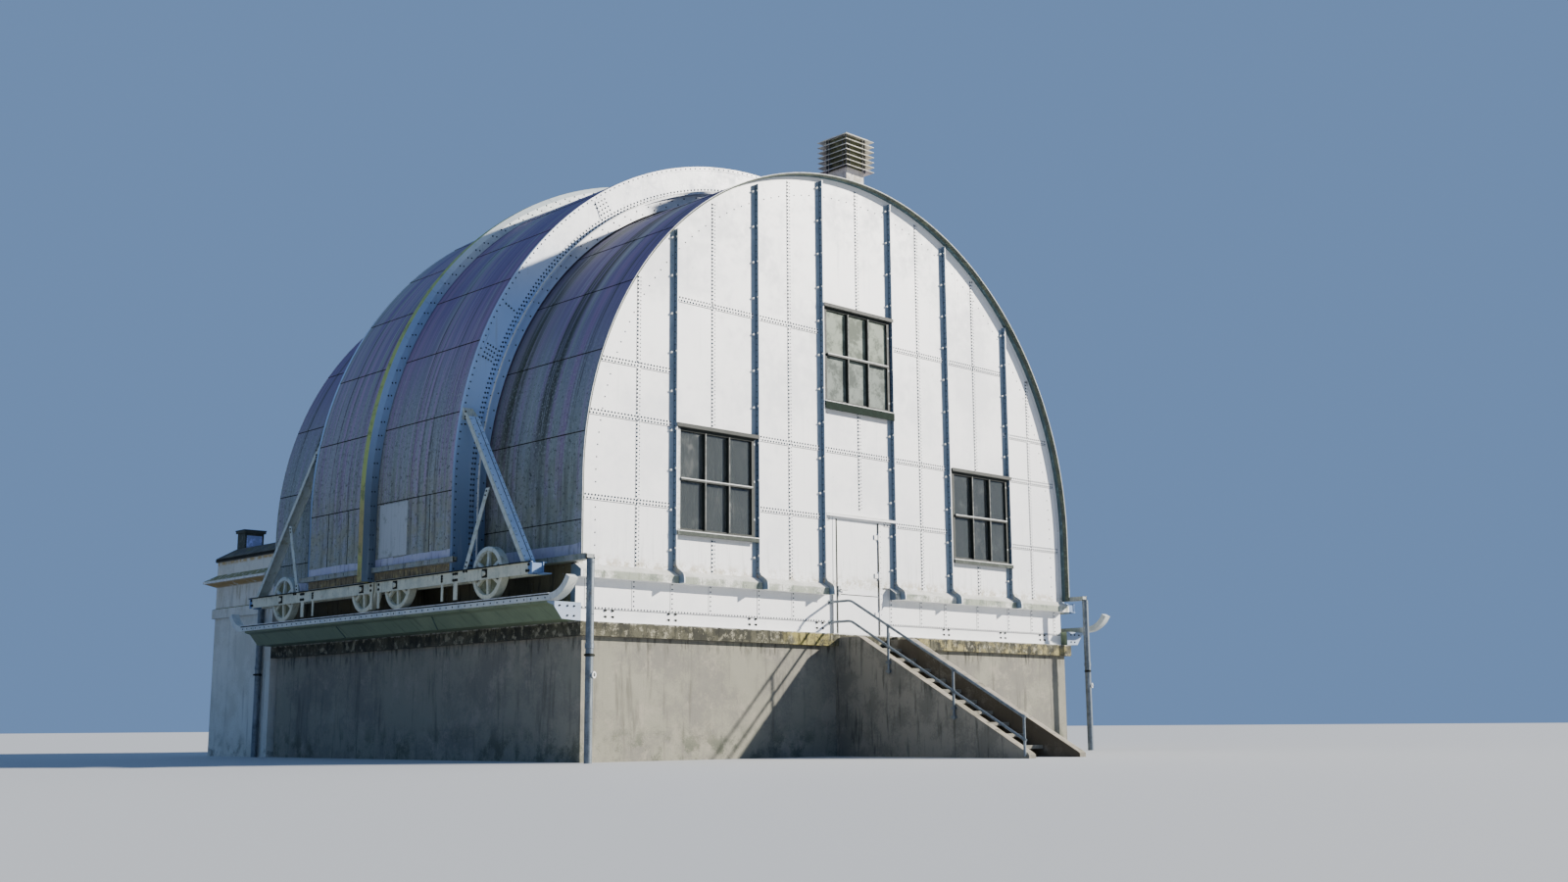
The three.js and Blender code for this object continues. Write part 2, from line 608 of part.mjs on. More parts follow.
function addRoofHalf(end) {
  const meeting = SLIT_Y - MEETING_PLAY;
  const arch = SLIT_Y - HALF_LENGTH;
  const pieces = [archBand(shellLine(SHELL_RADIUS), shellLine(SHELL_RADIUS - SHELL_SHEET),
    ...span(end, arch, meeting))];
  const gutterEnd = end === 'front' ? meeting : meeting - SLIT_RIB_LENGTH - MEETING_PLAY;
  const gutterRun = span(end, arch, gutterEnd);
  for (const side of [-1, 1]) {
    pieces.push(gutter(side, SHELL_RADIUS, SHELL_GUTTER_REACH, SHELL_GUTTER_Z, ...gutterRun));
    pieces.push(freeGutter(side, SHELL_RADIUS, SHELL_GUTTER_REACH, SHELL_GUTTER_Z, end,
      SHELL_GUTTER_START, arch + 1));
  }
  const foot = BEAM_TOP + SEAT;
  const behindSkirt = box([-SHELL_RADIUS + SKIRT_SHEET, SHELL_RADIUS - SKIRT_SHEET], [0, HALL_LENGTH],
    [foot - 1, SKIRT_TOP]);
  add(`shell_${end}`, join(pieces).subtract(behindSkirt), paint.zinc);

  const plateBack = arch - SEAT;
  const plateFront = plateBack - ARCH_PLATE;
  const plate = archBand(shellLine(SHELL_RADIUS), archLine(ARCH_INNER, foot),
    ...span(end, plateFront, plateBack));
  const flange = archBand(archLine(ARCH_INNER + ARCH_FLANGE_SHEET, foot), archLine(ARCH_INNER, foot),
    ...span(end, plateFront - ARCH_FLANGE, plateFront + 1));
  const closure = archBand(archLine(ARCH_INNER + 1, ARCH_CLOSURE_FOOT),
    archLine(ARCH_CLOSURE_INNER, ARCH_CLOSURE_FOOT), ...span(end, plateFront, plateBack));
  add(`arch_${end}`, join([plate, flange, closure]), paint.sheet);
}

function addSlitRib() {
  const inner = SHELL_RADIUS + SEAT + 0.2;
  const start = SLIT_Y + MEETING_PLAY;
  const stop = start + SLIT_RIB_LENGTH;
  const band = (low, from, to) => archBand(shellLine(SLIT_RIB_RADIUS), shellLine(low), from, to);
  const face = band(inner, start, start + SLIT_RIB_SHEET);
  const back = band(inner, stop - SLIT_RIB_SHEET, stop);
  const cap = band(SLIT_RIB_RADIUS - SLIT_RIB_SHEET, start, stop);
  add('slit_rib', join([face, back, cap]), paint.sheet);
}

// Plate of the leaning brace: its [y, z] outline, and its distance in from the brace's outer face
function bracePlate(side, end, inset, thickness, outline) {
  const points = [];
  for (const [y, z] of outline) {
    const outer = OUTER_WEB - BRACE_LEAN * (z - BEAM_TOP) - inset;
    points.push([side * outer, depth(end, y), z]);
    points.push([side * (outer - thickness), depth(end, y), z]);
  }
  return hull(points);
}

// Channel from the beam's nose to the arch plate, open towards the back, with a strut down to the beam
function brace(side, end) {
  const archFace = SLIT_Y - HALF_LENGTH - SEAT * 2 - ARCH_PLATE;
  const topY = BRACE_FOOT_Y + BRACE_SLOPE * (BRACE_TOP_Z - BEAM_BOTTOM);
  const length = Math.hypot(BRACE_SLOPE, 1);
  const behind = ([y, z], distance) => [y + distance / length, z - distance * BRACE_SLOPE / length];
  const front = [[BRACE_FOOT_Y, BEAM_BOTTOM], [topY, BRACE_TOP_Z]];
  const web = [...front, ...front.map((point) => behind(point, BRACE_SHEET)).reverse()];
  const [footBack, topBack] = front.map((point) => behind(point, BRACE_DEPTH));
  const reach = archFace - topBack[0];
  const seat = [archFace, topBack[1] + reach / BRACE_SLOPE];
  const flange = [...front, [archFace, seat[1] + 45], seat, footBack];
  const inner = BRACE_WIDTH - BRACE_SHEET;
  const headFront = archFace - HEAD_PLATE.sheet;
  const headBottom = BRACE_TOP_Z - HEAD_PLATE.drop;
  const headTop = seat[1] + HEAD_PLATE.rise;
  const headPlate = [
    [headFront, headBottom], [archFace, headBottom], [archFace, headTop], [headFront, headTop],
  ];
  const strut = [
    [STRUT_TOP.start, STRUT_TOP.z], [STRUT_TOP.stop, STRUT_TOP.z],
    [STRUT_FOOT.stop, STRUT_FOOT.z], [STRUT_FOOT.start, STRUT_FOOT.z],
  ];
  const keep = box([side * 6000, side * 7000], span(end, 0, archFace), [BEAM_BOTTOM, 7000]);
  const channel = join([
    bracePlate(side, end, 0, BRACE_WIDTH, web),
    bracePlate(side, end, 0, BRACE_SHEET, flange),
    bracePlate(side, end, inner, BRACE_SHEET, flange),
    bracePlate(side, end, 0, BRACE_WIDTH, headPlate),
    bracePlate(side, end, 0, BRACE_SHEET, strut),
  ]);
  return channel.intersect(keep);
}

function addCarriage(name, side, end, stop, lastTie) {
  const run = span(end, BEAM_START, stop);
  const at = (low, high) => [side * low, side * high];
  const levels = [BEAM_BOTTOM, BEAM_TOP];
  const pieces = [
    brace(side, end),
    box(at(OUTER_WEB, OUTER_WEB + BEAM_SHEET), run, levels),
    box(at(INNER_WEB, INNER_WEB - BEAM_SHEET), run, levels),
    box(at(OUTER_WEB, OUTER_WEB + BEAM_FLANGE), run, [BEAM_TOP - BEAM_SHEET, BEAM_TOP]),
  ];
  for (const z of [BEAM_BOTTOM, BEAM_TOP - BEAM_SHEET]) {
    pieces.push(box(at(INNER_WEB, INNER_WEB - 2 * BEAM_FLANGE), run, [z, z + BEAM_SHEET]));
  }
  for (const y of [BEAM_START, TIE_Y, lastTie]) {
    pieces.push(box(at(INNER_WEB - 5, OUTER_WEB + 5), span(end, y + TIE_SPAN[0], y + TIE_SPAN[1]), TIE_Z));
  }
  const lastPost = { y: stop - LAST_POST.back, width: LAST_POST.width };
  for (const { y, width } of [...POSTS, lastPost]) {
    pieces.push(box(at(OUTER_WEB, OUTER_WEB + BEAM_SHEET), span(end, y, y + width), POST_Z));
  }
  pieces.push(box(at(INNER_WEB - 2 * BEAM_FLANGE, INNER_WEB + NOSE_BACK),
    span(end, BEAM_START - NOSE_REACH, BEAM_START + NOSE_BACK), [BEAM_BOTTOM, BEAM_BOTTOM + BEAM_SHEET]));
  add(name, join(pieces), paint.cream);
}

function addWheel(name, side, y) {
  const hub = WHEEL_X - INNER_WEB - SEAT;
  const half = [
    [HUB_RADIUS, hub], [HUB_RADIUS, WEB_HALF], [RIM_INNER, WEB_HALF], [RIM_INNER, WHEEL_HALF],
    [WHEEL_RADIUS, WHEEL_HALF],
  ];
  const profile = [[0, hub], ...half, ...half.map(([r, a]) => [r, -a]).reverse(), [0, -hub]].reverse();
  const geometry = new THREE.LatheGeometry(profile.map(([r, a]) => new THREE.Vector2(r, a)), WHEEL_SIDES);
  let wheel = toSolid(geometry);
  for (let spoke = 0; spoke < SPOKES; spoke += 1) {
    const plate = new THREE.BoxGeometry(2 * RIM_INNER + 10, SPOKE_WIDTH, SPOKE_SHEET);
    wheel = wheel.add(toSolid(plate.rotateY(spoke * Math.PI / SPOKES)));
  }
  const mesh = wheel.getMesh();
  const turned = new THREE.BufferGeometry();
  turned.setAttribute('position', new THREE.BufferAttribute(mesh.vertProperties, 3));
  turned.setIndex(new THREE.BufferAttribute(mesh.triVerts, 1));
  turned.rotateZ(-Math.PI / 2).translate(side * WHEEL_X, y, WHEEL_Z);
  add(name, toSolid(turned), paint.cream);
}

function addVentilator() {
  const corner = Math.SQRT2;
  const profile = [[0, 0], [VENT_NECK, 0]];
  for (let tier = 0; tier < VENT_TIERS; tier += 1) {
    const z = tier * VENT_PITCH;
    profile.push([VENT_NECK, z + VENT_FALL]);
    profile.push([VENT_LIP, z]);
    profile.push([VENT_LIP, z + VENT_SLAT]);
    profile.push([VENT_NECK, z + VENT_FALL + VENT_SLAT]);
  }
  profile.push([0, (VENT_TIERS - 1) * VENT_PITCH + VENT_FALL + VENT_SLAT + VENT_CAP]);
  const points = profile.map(([r, z]) => new THREE.Vector2(r * corner, z));
  const cowl = new THREE.LatheGeometry(points, 4, Math.PI / 4);
  const neckHalf = VENT_NECK - 20;
  const neck = box([VENT_X - neckHalf, VENT_X + neckHalf], [VENT_Y - neckHalf, VENT_Y + neckHalf],
    [SPRING_Z, VENT_BOTTOM + 10]);
  const vault = archFill(VAULT_RADIUS + SEAT + 0.2, VAULT_FOOT, 0, VAULT_LENGTH);
  const louvres = toSolid(cowl.rotateX(Math.PI / 2).translate(VENT_X, VENT_Y, VENT_BOTTOM));
  add('ventilator', louvres.add(neck.subtract(vault)), paint.louvre);
}

function slabPoints(grow, z, inset = 0) {
  const x = WING_HALF + grow - inset;
  const back = WING_BACK + grow - inset;
  const front = WING_FRONT + inset;
  return [[-x, front, z], [x, front, z], [x, back, z], [-x, back, z]];
}

function addWing() {
  const inner = (z) => box([-WING_HALF + WING_WALL, WING_HALF - WING_WALL],
    [WING_FRONT + WING_WALL, WING_BACK - WING_WALL], z);
  const coveTop = WING_TOP + COVE_RISE;
  const cove = hull([...slabPoints(0, WING_TOP), ...slabPoints(CORNICE_REACH, coveTop)]);
  const lip = hull([...slabPoints(CORNICE_REACH, coveTop - 1), ...slabPoints(CORNICE_REACH, CORNICE_TOP)]);
  const slope = hull([...slabPoints(CORNICE_REACH, CORNICE_TOP - 1), ...slabPoints(0, ATTIC_FOOT)]);
  const walls = box([-WING_HALF, WING_HALF], [WING_FRONT, WING_BACK], [0, ATTIC_TOP]);
  const masonry = join([walls, cove, lip, slope]).subtract(inner([-1, ATTIC_TOP + 1]));
  add('wing_walls', masonry, paint.plaster);

  const seat = ATTIC_TOP + SEAT;
  const roof = (lift) => hull([
    ...slabPoints(WING_ROOF_REACH + lift, seat),
    ...slabPoints(WING_ROOF_REACH + lift, WING_ROOF_EDGE + lift),
    ...slabPoints(lift, WING_ROOF_TOP + lift, WING_ROOF_INSET),
  ]);
  add('wing_roof', roof(0), paint.roofing);

  const widen = ([low, high]) => [low - VENT_LID_REACH, high + VENT_LID_REACH];
  const body = box(VENT_BOX_X, VENT_BOX_Y, [WING_ROOF_EDGE, VENT_BOX_TOP]);
  const lid = box(widen(VENT_BOX_X), widen(VENT_BOX_Y), VENT_LID_Z);
  add('wing_vent_box', body.add(lid).subtract(roof(SEAT * 2)), paint.zinc);
}

addPlinth();
addStair();
addHandrail();
addBaseCourse();
addGables();
addWindows();
addDoor();
for (const end of ['front', 'back']) {
  addFixedVault(end);
  for (const [name, side] of [['left', -1], ['right', 1]]) {
    addDownpipe(`downpipe_${end}_${name}`, side, end);
  }
  addRoofHalf(end);
}
addSlitRib();
for (const [name, side] of [['left', -1], ['right', 1]]) {
  addGirder(name, side);
  addRail(name, side);
  addRailStop(name, side, 'front');
  addRailStop(name, side, 'back');
  addCarriage(`carriage_front_${name}`, side, 'front', FRONT_BEAM_STOP, FRONT_LAST_TIE);
  addCarriage(`carriage_back_${name}`, side, 'back', BACK_BEAM_STOP, BACK_LAST_TIE);
  FRONT_WHEELS.forEach((y, index) => addWheel(`wheel_front_${name}_${index + 1}`, side, y));
  BACK_WHEELS.forEach((y, index) => addWheel(`wheel_back_${name}_${index + 1}`, side, y));
}
addVentilator();
addWing();

export default hall;
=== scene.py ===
# Looks of the meridian hall: smooth roof sheets, riveted seams, bolts, glazing, weathering and light.
# Metres. Points are given across, as depth behind the front rim, and as height above the ground.
import math
import random

import bmesh
import bpy
from mathutils import Matrix, Vector


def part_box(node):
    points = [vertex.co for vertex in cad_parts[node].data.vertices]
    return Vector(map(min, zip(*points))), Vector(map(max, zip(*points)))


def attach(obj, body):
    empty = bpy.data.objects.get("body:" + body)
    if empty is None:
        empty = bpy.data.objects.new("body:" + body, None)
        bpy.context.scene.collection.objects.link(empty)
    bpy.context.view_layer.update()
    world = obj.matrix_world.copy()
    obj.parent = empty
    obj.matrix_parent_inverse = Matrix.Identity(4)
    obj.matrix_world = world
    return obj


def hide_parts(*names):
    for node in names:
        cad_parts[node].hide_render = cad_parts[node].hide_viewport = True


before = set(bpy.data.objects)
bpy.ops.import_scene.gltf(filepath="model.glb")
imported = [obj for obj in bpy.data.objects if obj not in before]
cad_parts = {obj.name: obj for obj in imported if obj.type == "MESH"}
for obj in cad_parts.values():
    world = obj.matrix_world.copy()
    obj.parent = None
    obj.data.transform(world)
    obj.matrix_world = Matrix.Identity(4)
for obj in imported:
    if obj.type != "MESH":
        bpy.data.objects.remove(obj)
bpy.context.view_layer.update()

FRONT_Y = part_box("floor_slab")[0].y

# Hall
HALL_LENGTH = 9.6
SPRING_Z = 4.14
VAULT_RADIUS = 6.0
VAULT_SHEET = 0.08
VAULT_LENGTH = 3.2
VAULT_FOOT = 2.9
GABLE_FACE = 0.16
GABLE_MIDDLE = 0.1
FIN_XS = tuple(GABLE_MIDDLE + side * reach for reach in (0.895, 2.44, 4.215) for side in (-1, 1))
FIN_HALF = 0.01
FIN_FRONT = 0.075
SEAM_XS = (-4.86, -3.31, -1.58, 0.13, 1.76, 3.37, 5.02)
EDGE_SHEET = 0.02
LEDGE_TOP = 2.88
BASE_FACE = 0.2
SLAB_TOP = 2.03
SLAB_BOTTOM = 1.82
SIDE_X = 5.95

# Roof halves and what carries them
SHELL_RADIUS = 6.62
SHELL_CENTRE = 4.27
SHELL_SHEET = 0.04
SKIRT_SHEET = 0.016
SKIRT_TOP = 3.25
SHELL_FOOT = 2.8853
ARCH_DEPTH = 2.55
ARCH_BACK = ARCH_DEPTH - 0.0003
ARCH_FRONT = 2.4997
ARCH_NOSE = 2.3797
MEETING = 4.795
ARCH_INNER = 6.215
CLOSURE_INNER = 6.03
CLOSURE_FOOT = 3.02
RIB_RADIUS = 6.83
RIB_SPAN = (4.805, 5.005)
RIB_ROOM = 0.205
BEAM_FACE = 6.63
BEAM_LEVELS = (2.7, 2.885)
BRACE_FOOT = (0.407, 2.7)
BRACE_SLOPE = 0.7255
BRACE_LEAN = 0.043
BRACE_FACE = 6.615
BRACE_RUN = math.hypot(BRACE_SLOPE, 1)
WHEEL_X = 6.525
WHEEL_Z = 2.8
WHEEL_RADIUS = 0.3997
WHEEL_DEPTHS = {"front": (1.56, 4.13), "back": (5.2, 8.04)}
RAIL_FACE = 6.6

# Angles and splices on the arch plate. A splice has its tilt and spread in degrees, and columns of rivets
HEEL_PROUD = 0.008
SPLICE_PROUD = 0.011
SPLICES = ((21.0, 2.9, 4), (29.0, 0.75, 1), (54.3, 3.0, 4))

# Gutters: reach and bottom of each kind, and the depth of its free tip behind the gable
GUTTER_WALL = 0.015
GUTTER_HEIGHT = 0.075
GUTTER_END = 0.012
VAULT_GUTTER = (0.15, VAULT_FOOT)
VAULT_GUTTER_TIP = -0.31
SHELL_GUTTER = (0.07, 3.03)
SHELL_GUTTER_TIP = 2.34

# Seams of the gable's sheets and of the base course. A level seam has its height and its ends across
SEAM_ROOM = 0.06
SEAM_REACH = 5.88
STRAP_PROUD = 0.004
SHOULDER_SEAM = 6.02
LOW_SEAM = 3.87
MIDDLE_BAYS = (-4.2, 4.2)
LEVEL_SEAMS = {
    7.23: MIDDLE_BAYS, SHOULDER_SEAM: (-5.6, -4.2), 5.17: (-5.8, 5.8), 3.99: MIDDLE_BAYS,
    LOW_SEAM: (-5.9, 5.9),
}
BASE_SEAM_XS = (-4.86, -3.31, -1.47, 1.76, 3.37, 5.02, -2.257, 2.44, -4.1, 4.3, -5.75, 5.75, -0.744, 0.95)
BASE_BOLT_XS = (-5.33, -4.1, -2.4, -0.85, 2.44, 4.1, 5.33)

# Windows: across, sill and head, end of the hall
WINDOWS = {
    "window_left": (-4.085, -2.41, 3.49, 5.18, "front"),
    "window_right": (2.61, 4.285, 3.49, 5.18, "front"),
    "window_upper": (-0.75, 0.95, 6.01, 7.74, "front"),
    "window_back": (-0.75, 0.95, 6.01, 7.74, "back"),
}
HIGH_WINDOWS = ("window_upper", "window_back")
SIDE_BAR = 0.07
BAR_FRONT = GABLE_FACE - 0.065
DOOR = (-0.46, 0.59, 4.01)
LEAF_FACE = 0.165

# Stair
STAIR_EDGES = (-0.58, 0.86)
STAIR_WALL = 0.16
FIRST_TREAD_TOP = 1.8
STAIR_RISE = 0.18
STAIR_TREAD = 0.326
STAIR_SLOPE = STAIR_RISE / STAIR_TREAD
CHEEK_TOP = 1.96
CHEEK_BEND = -0.45
FIRST_TREAD_FRONT = -0.26
TREADS = 10
RAIL_HEIGHTS = (2.57, 2.23)
RAIL_PIPE = 0.0215

# Ventilator: place across and in depth, foot, and the tiers of slats
VENT_PLACE = (0.355, 0.58)
VENT_BOTTOM = 10.54
VENT_TIERS = 7
VENT_PITCH = 0.098
VENT_TOP = VENT_BOTTOM + (VENT_TIERS - 1) * VENT_PITCH
VENT_NECK = 0.228

# Wing
WING_SIDE = 6.0
WING_FRONT = 9.6003
WING_BACK = 12.05

ARC_STEPS = 96
CREASE = math.radians(34)
FRONT = Vector((0, -1, 0))
BACK = Vector((0, 1, 0))
UP = Vector((0, 0, 1))
ENDS = ("front", "back")
SIDES = {"left": -1, "right": 1}
CORNERS = ((-1, -1), (1, -1), (1, 1), (-1, 1))

random.seed(41)


# Places on the hall

def depth(end, y):
    return y if end == "front" else HALL_LENGTH - y


def facing(end):
    return FRONT if end == "front" else BACK


def between(end, first, second):
    """Two depths behind one gable, the one nearer the front first."""
    return sorted((depth(end, first), depth(end, second)))


def upright_line(x, y, low, high):
    return [Vector((x, y, low)), Vector((x, y, high))]


def cross_line(y, z, left, right):
    return [Vector((left, y, z)), Vector((right, y, z))]


def length_line(x, z, near, far):
    return [Vector((x, near, z)), Vector((x, far, z))]


def lifted(line, out, proud):
    return [point + out * proud for point in line]


def in_turn(corners):
    """Two pairs of corners in their order round the section."""
    return [corners[0], corners[1], corners[3], corners[2]]


def arch_path(radius, centre, foot, y, steps=ARC_STEPS):
    """Half circle on upright legs, from the right foot over the crown to the left foot."""
    line = [Vector((radius, y, foot))]
    for step in range(steps + 1):
        angle = math.pi * step / steps
        line.append(Vector((radius * math.cos(angle), y, centre + radius * math.sin(angle))))
    return line + [Vector((-radius, y, foot))]


def arch_outs(steps=ARC_STEPS):
    outs = [Vector((1, 0, 0))]
    for step in range(steps + 1):
        angle = math.pi * step / steps
        outs.append(Vector((math.cos(angle), 0, math.sin(angle))))
    return outs + [Vector((-1, 0, 0))]


def roof_spot(radius, centre, foot, girth, side):
    """Point [across, height] and outward direction, a girth above the foot of one side."""
    leg = centre - foot
    angle = max(0.0, (girth - leg) / radius)
    height = foot + girth if girth < leg else centre + radius * math.sin(angle)
    out = Vector((side * math.cos(angle), 0, math.sin(angle)))
    return side * radius * math.cos(angle), height, out


# Shapes

class Shape:
    """Closed bodies that make up one piece."""

    def __init__(self):
        self.points = []
        self.faces = []

    def body(self, points, faces):
        first = len(self.points)
        self.points += [tuple(point) for point in points]
        self.faces += [[first + index for index in face] for face in faces]

    def box(self, x, y, z):
        points = [(a, b, c) for a in x for b in y for c in z]
        sides = [(0, 1, 3, 2), (4, 6, 7, 5), (0, 4, 5, 1), (2, 3, 7, 6), (0, 2, 6, 4), (1, 5, 7, 3)]
        self.body(points, sides)

    def loft(self, rings, closed=False):
        """Skin over rings of equally many points, capped unless it closes on itself."""
        size, count = len(rings[0]), len(rings)
        faces = []
        for ring in range(count if closed else count - 1):
            here, there = ring * size, (ring + 1) % count * size
            for i in range(size):
                j = (i + 1) % size
                faces.append((here + i, here + j, there + j, there + i))
        if not closed:
            faces.append(tuple(range(size)))
            faces.append(tuple(range((count - 1) * size, count * size)))
        self.body([point for ring in rings for point in ring], faces)

    def prism(self, outline, axis, start, stop):
        """Outline of two coordinates run along the third: axis 0 across, 1 in depth, 2 in height."""
        rings = []
        for level in (start, stop):
            ring = []
            for a, b in outline:
                point = [a, b]
                point.insert(axis, level)
                ring.append(point)
            rings.append(ring)
        self.loft(rings)

    def strap(self, line, outs, width, proud, sink=0.0):
        """Flat bar that follows a line on a surface, whose outward directions are outs."""
        rings = []
        last = len(line) - 1
        for index, point in enumerate(line):
            out = outs if isinstance(outs, Vector) else outs[index]
            along = line[min(index + 1, last)] - line[max(index - 1, 0)]
            across = along.cross(out).normalized() * width / 2
            low, high = point - out * sink, point + out * proud
            rings.append([low - across, low + across, high + across, high - across])
        self.loft(rings)

    def arch(self, section, foot, steps=ARC_STEPS):
        """Section of [radius, centre height, depth] corners swept over the hall."""
        lines = [arch_path(radius, centre, foot, y, steps) for radius, centre, y in section]
        self.loft(list(zip(*lines)))

    def tube(self, line, radius, sides=12):
        rings = []
        last = len(line) - 1
        for index, point in enumerate(line):
            along = (line[min(index + 1, last)] - line[max(index - 1, 0)]).normalized()
            guide = UP if abs(along.z) < 0.9 else FRONT
            first = along.cross(guide).normalized() * radius
            second = along.cross(first).normalized() * radius
            turns = [2 * math.pi * side / sides for side in range(sides)]
            rings.append([point + first * math.cos(turn) + second * math.sin(turn) for turn in turns])
        self.loft(rings)

    def turned(self, section, centre, axis, sides=32, ring=False):
        """Section of [radius, distance along the axis] corners turned about the axis."""
        guide = UP if abs(axis.z) < 0.9 else FRONT
        first = axis.cross(guide).normalized()
        second = axis.cross(first).normalized()
        rounds = []
        for radius, along in section:
            turns = [2 * math.pi * side / sides for side in range(sides)]
            rounds.append([centre + axis * along + (first * math.cos(turn) + second * math.sin(turn)) * radius
                           for turn in turns])
        self.loft(rounds, closed=ring)


def finish_mesh(mesh, name, material, body, stands_for=()):
    piece = bpy.data.objects.new(name, mesh)
    bpy.context.scene.collection.objects.link(piece)
    if not mesh.materials:
        mesh.materials.append(material)
    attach(piece, body)
    if stands_for:
        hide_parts(*stands_for)
    return piece


def make(name, shape, material, body="root", stands_for=(), bevel=0.0):
    mesh = bpy.data.meshes.new(name)
    mesh.from_pydata(shape.points, [], shape.faces)
    work = bmesh.new()
    work.from_mesh(mesh)
    bmesh.ops.recalc_face_normals(work, faces=work.faces)
    if bevel:
        sharp = [edge for edge in work.edges if edge.calc_face_angle(0) > CREASE]
        bmesh.ops.bevel(work, geom=sharp, offset=bevel, segments=1, affect="EDGES", clamp_overlap=True)
    work.to_mesh(mesh)
    work.free()
    mesh.transform(Matrix.Translation((0, FRONT_Y, 0)))
    mesh.shade_smooth()
    mesh.set_sharp_from_angle(angle=CREASE)
    return finish_mesh(mesh, name, material, body, stands_for)


# Rivet and bolt heads along lines, made by one tree

def head_tree():
    tree = bpy.data.node_groups.new("heads_on_lines", "GeometryNodeTree")
    face = tree.interface
    face.new_socket("Lines", in_out="INPUT", socket_type="NodeSocketGeometry")
    for label, value in (("Pitch", 0.05), ("Radius", 0.01), ("Height", 0.006)):
        face.new_socket(label, in_out="INPUT", socket_type="NodeSocketFloat").default_value = value
    face.new_socket("Single", in_out="INPUT", socket_type="NodeSocketBool")
    face.new_socket("Six-sided", in_out="INPUT", socket_type="NodeSocketBool")
    face.new_socket("Finish", in_out="INPUT", socket_type="NodeSocketMaterial")
    face.new_socket("Heads", in_out="OUTPUT", socket_type="NodeSocketGeometry")

    def node(kind, **settings):
        made = tree.nodes.new(kind)
        for key, value in settings.items():
            setattr(made, key, value)
        return made

    def link(source, target):
        tree.links.new(source, target)

    given = node("NodeGroupInput").outputs
    curve = node("GeometryNodeMeshToCurve")
    link(given["Lines"], curve.inputs["Mesh"])
    even = node("GeometryNodeResampleCurve", mode="LENGTH")
    link(curve.outputs["Curve"], even.inputs["Curve"])
    link(given["Pitch"], even.inputs["Length"])
    spots = node("GeometryNodeSwitch", input_type="GEOMETRY")
    link(given["Single"], spots.inputs["Switch"])
    link(even.outputs["Curve"], spots.inputs["False"])
    link(given["Lines"], spots.inputs["True"])

    dome = node("GeometryNodeMeshUVSphere")
    dome.inputs["Segments"].default_value = 6
    dome.inputs["Rings"].default_value = 4
    nut = node("GeometryNodeMeshCylinder")
    nut.inputs["Vertices"].default_value = 6
    nut.inputs["Depth"].default_value = 2.0
    head = node("GeometryNodeSwitch", input_type="GEOMETRY")
    link(given["Six-sided"], head.inputs["Switch"])
    link(dome.outputs["Mesh"], head.inputs["False"])
    link(nut.outputs["Mesh"], head.inputs["True"])

    out = node("GeometryNodeInputNamedAttribute", data_type="FLOAT_VECTOR")
    out.inputs["Name"].default_value = "out"
    turn = node("FunctionNodeAlignRotationToVector", axis="Z")
    link(out.outputs["Attribute"], turn.inputs["Vector"])
    size = node("ShaderNodeCombineXYZ")
    link(given["Radius"], size.inputs["X"])
    link(given["Radius"], size.inputs["Y"])
    link(given["Height"], size.inputs["Z"])

    place = node("GeometryNodeInstanceOnPoints")
    link(spots.outputs["Output"], place.inputs["Points"])
    link(head.outputs["Output"], place.inputs["Instance"])
    link(turn.outputs["Rotation"], place.inputs["Rotation"])
    link(size.outputs["Vector"], place.inputs["Scale"])
    real = node("GeometryNodeRealizeInstances")
    link(place.outputs["Instances"], real.inputs["Geometry"])
    paint = node("GeometryNodeSetMaterial")
    link(real.outputs["Geometry"], paint.inputs["Geometry"])
    link(given["Finish"], paint.inputs["Material"])
    link(paint.outputs["Geometry"], node("NodeGroupOutput").inputs["Heads"])
    return tree


HEAD_TREE = head_tree()


def heads(name, rows, material, pitch, radius, height, body="root", single=False,
          six_sided=False):
    """Heads along rows of (points, outward direction or directions): evenly, or single on each point."""
    points, edges, outs = [], [], []
    for line, out in rows:
        first = len(points)
        points += [tuple(point) for point in line]
        outs += [tuple(out)] * len(line) if isinstance(out, Vector) else [tuple(o) for o in out]
        if not single:
            edges += [(first + i, first + i + 1) for i in range(len(line) - 1)]
    mesh = bpy.data.meshes.new(name + "_lines")
    mesh.from_pydata(points, edges, [])
    mesh.transform(Matrix.Translation((0, FRONT_Y, 0)))
    mesh.attributes.new("out", "FLOAT_VECTOR", "POINT").data.foreach_set(
        "vector", [value for out in outs for value in out])
    carrier = bpy.data.objects.new(name + "_lines", mesh)
    bpy.context.scene.collection.objects.link(carrier)
    modifier = carrier.modifiers.new("heads", "NODES")
    modifier.node_group = HEAD_TREE
    values = {"Pitch": pitch, "Radius": radius, "Height": height, "Single": single,
              "Six-sided": six_sided, "Finish": material}
    for item in HEAD_TREE.interface.items_tree:
        if item.in_out == "INPUT" and item.name in values:
            modifier[item.identifier] = values[item.name]
    graph = bpy.context.evaluated_depsgraph_get()
    made = bpy.data.meshes.new_from_object(carrier.evaluated_get(graph))
    made.name = name
    bpy.data.objects.remove(carrier)
    if not six_sided:
        made.shade_smooth()
    return finish_mesh(made, name, material, body)


# Shader groups

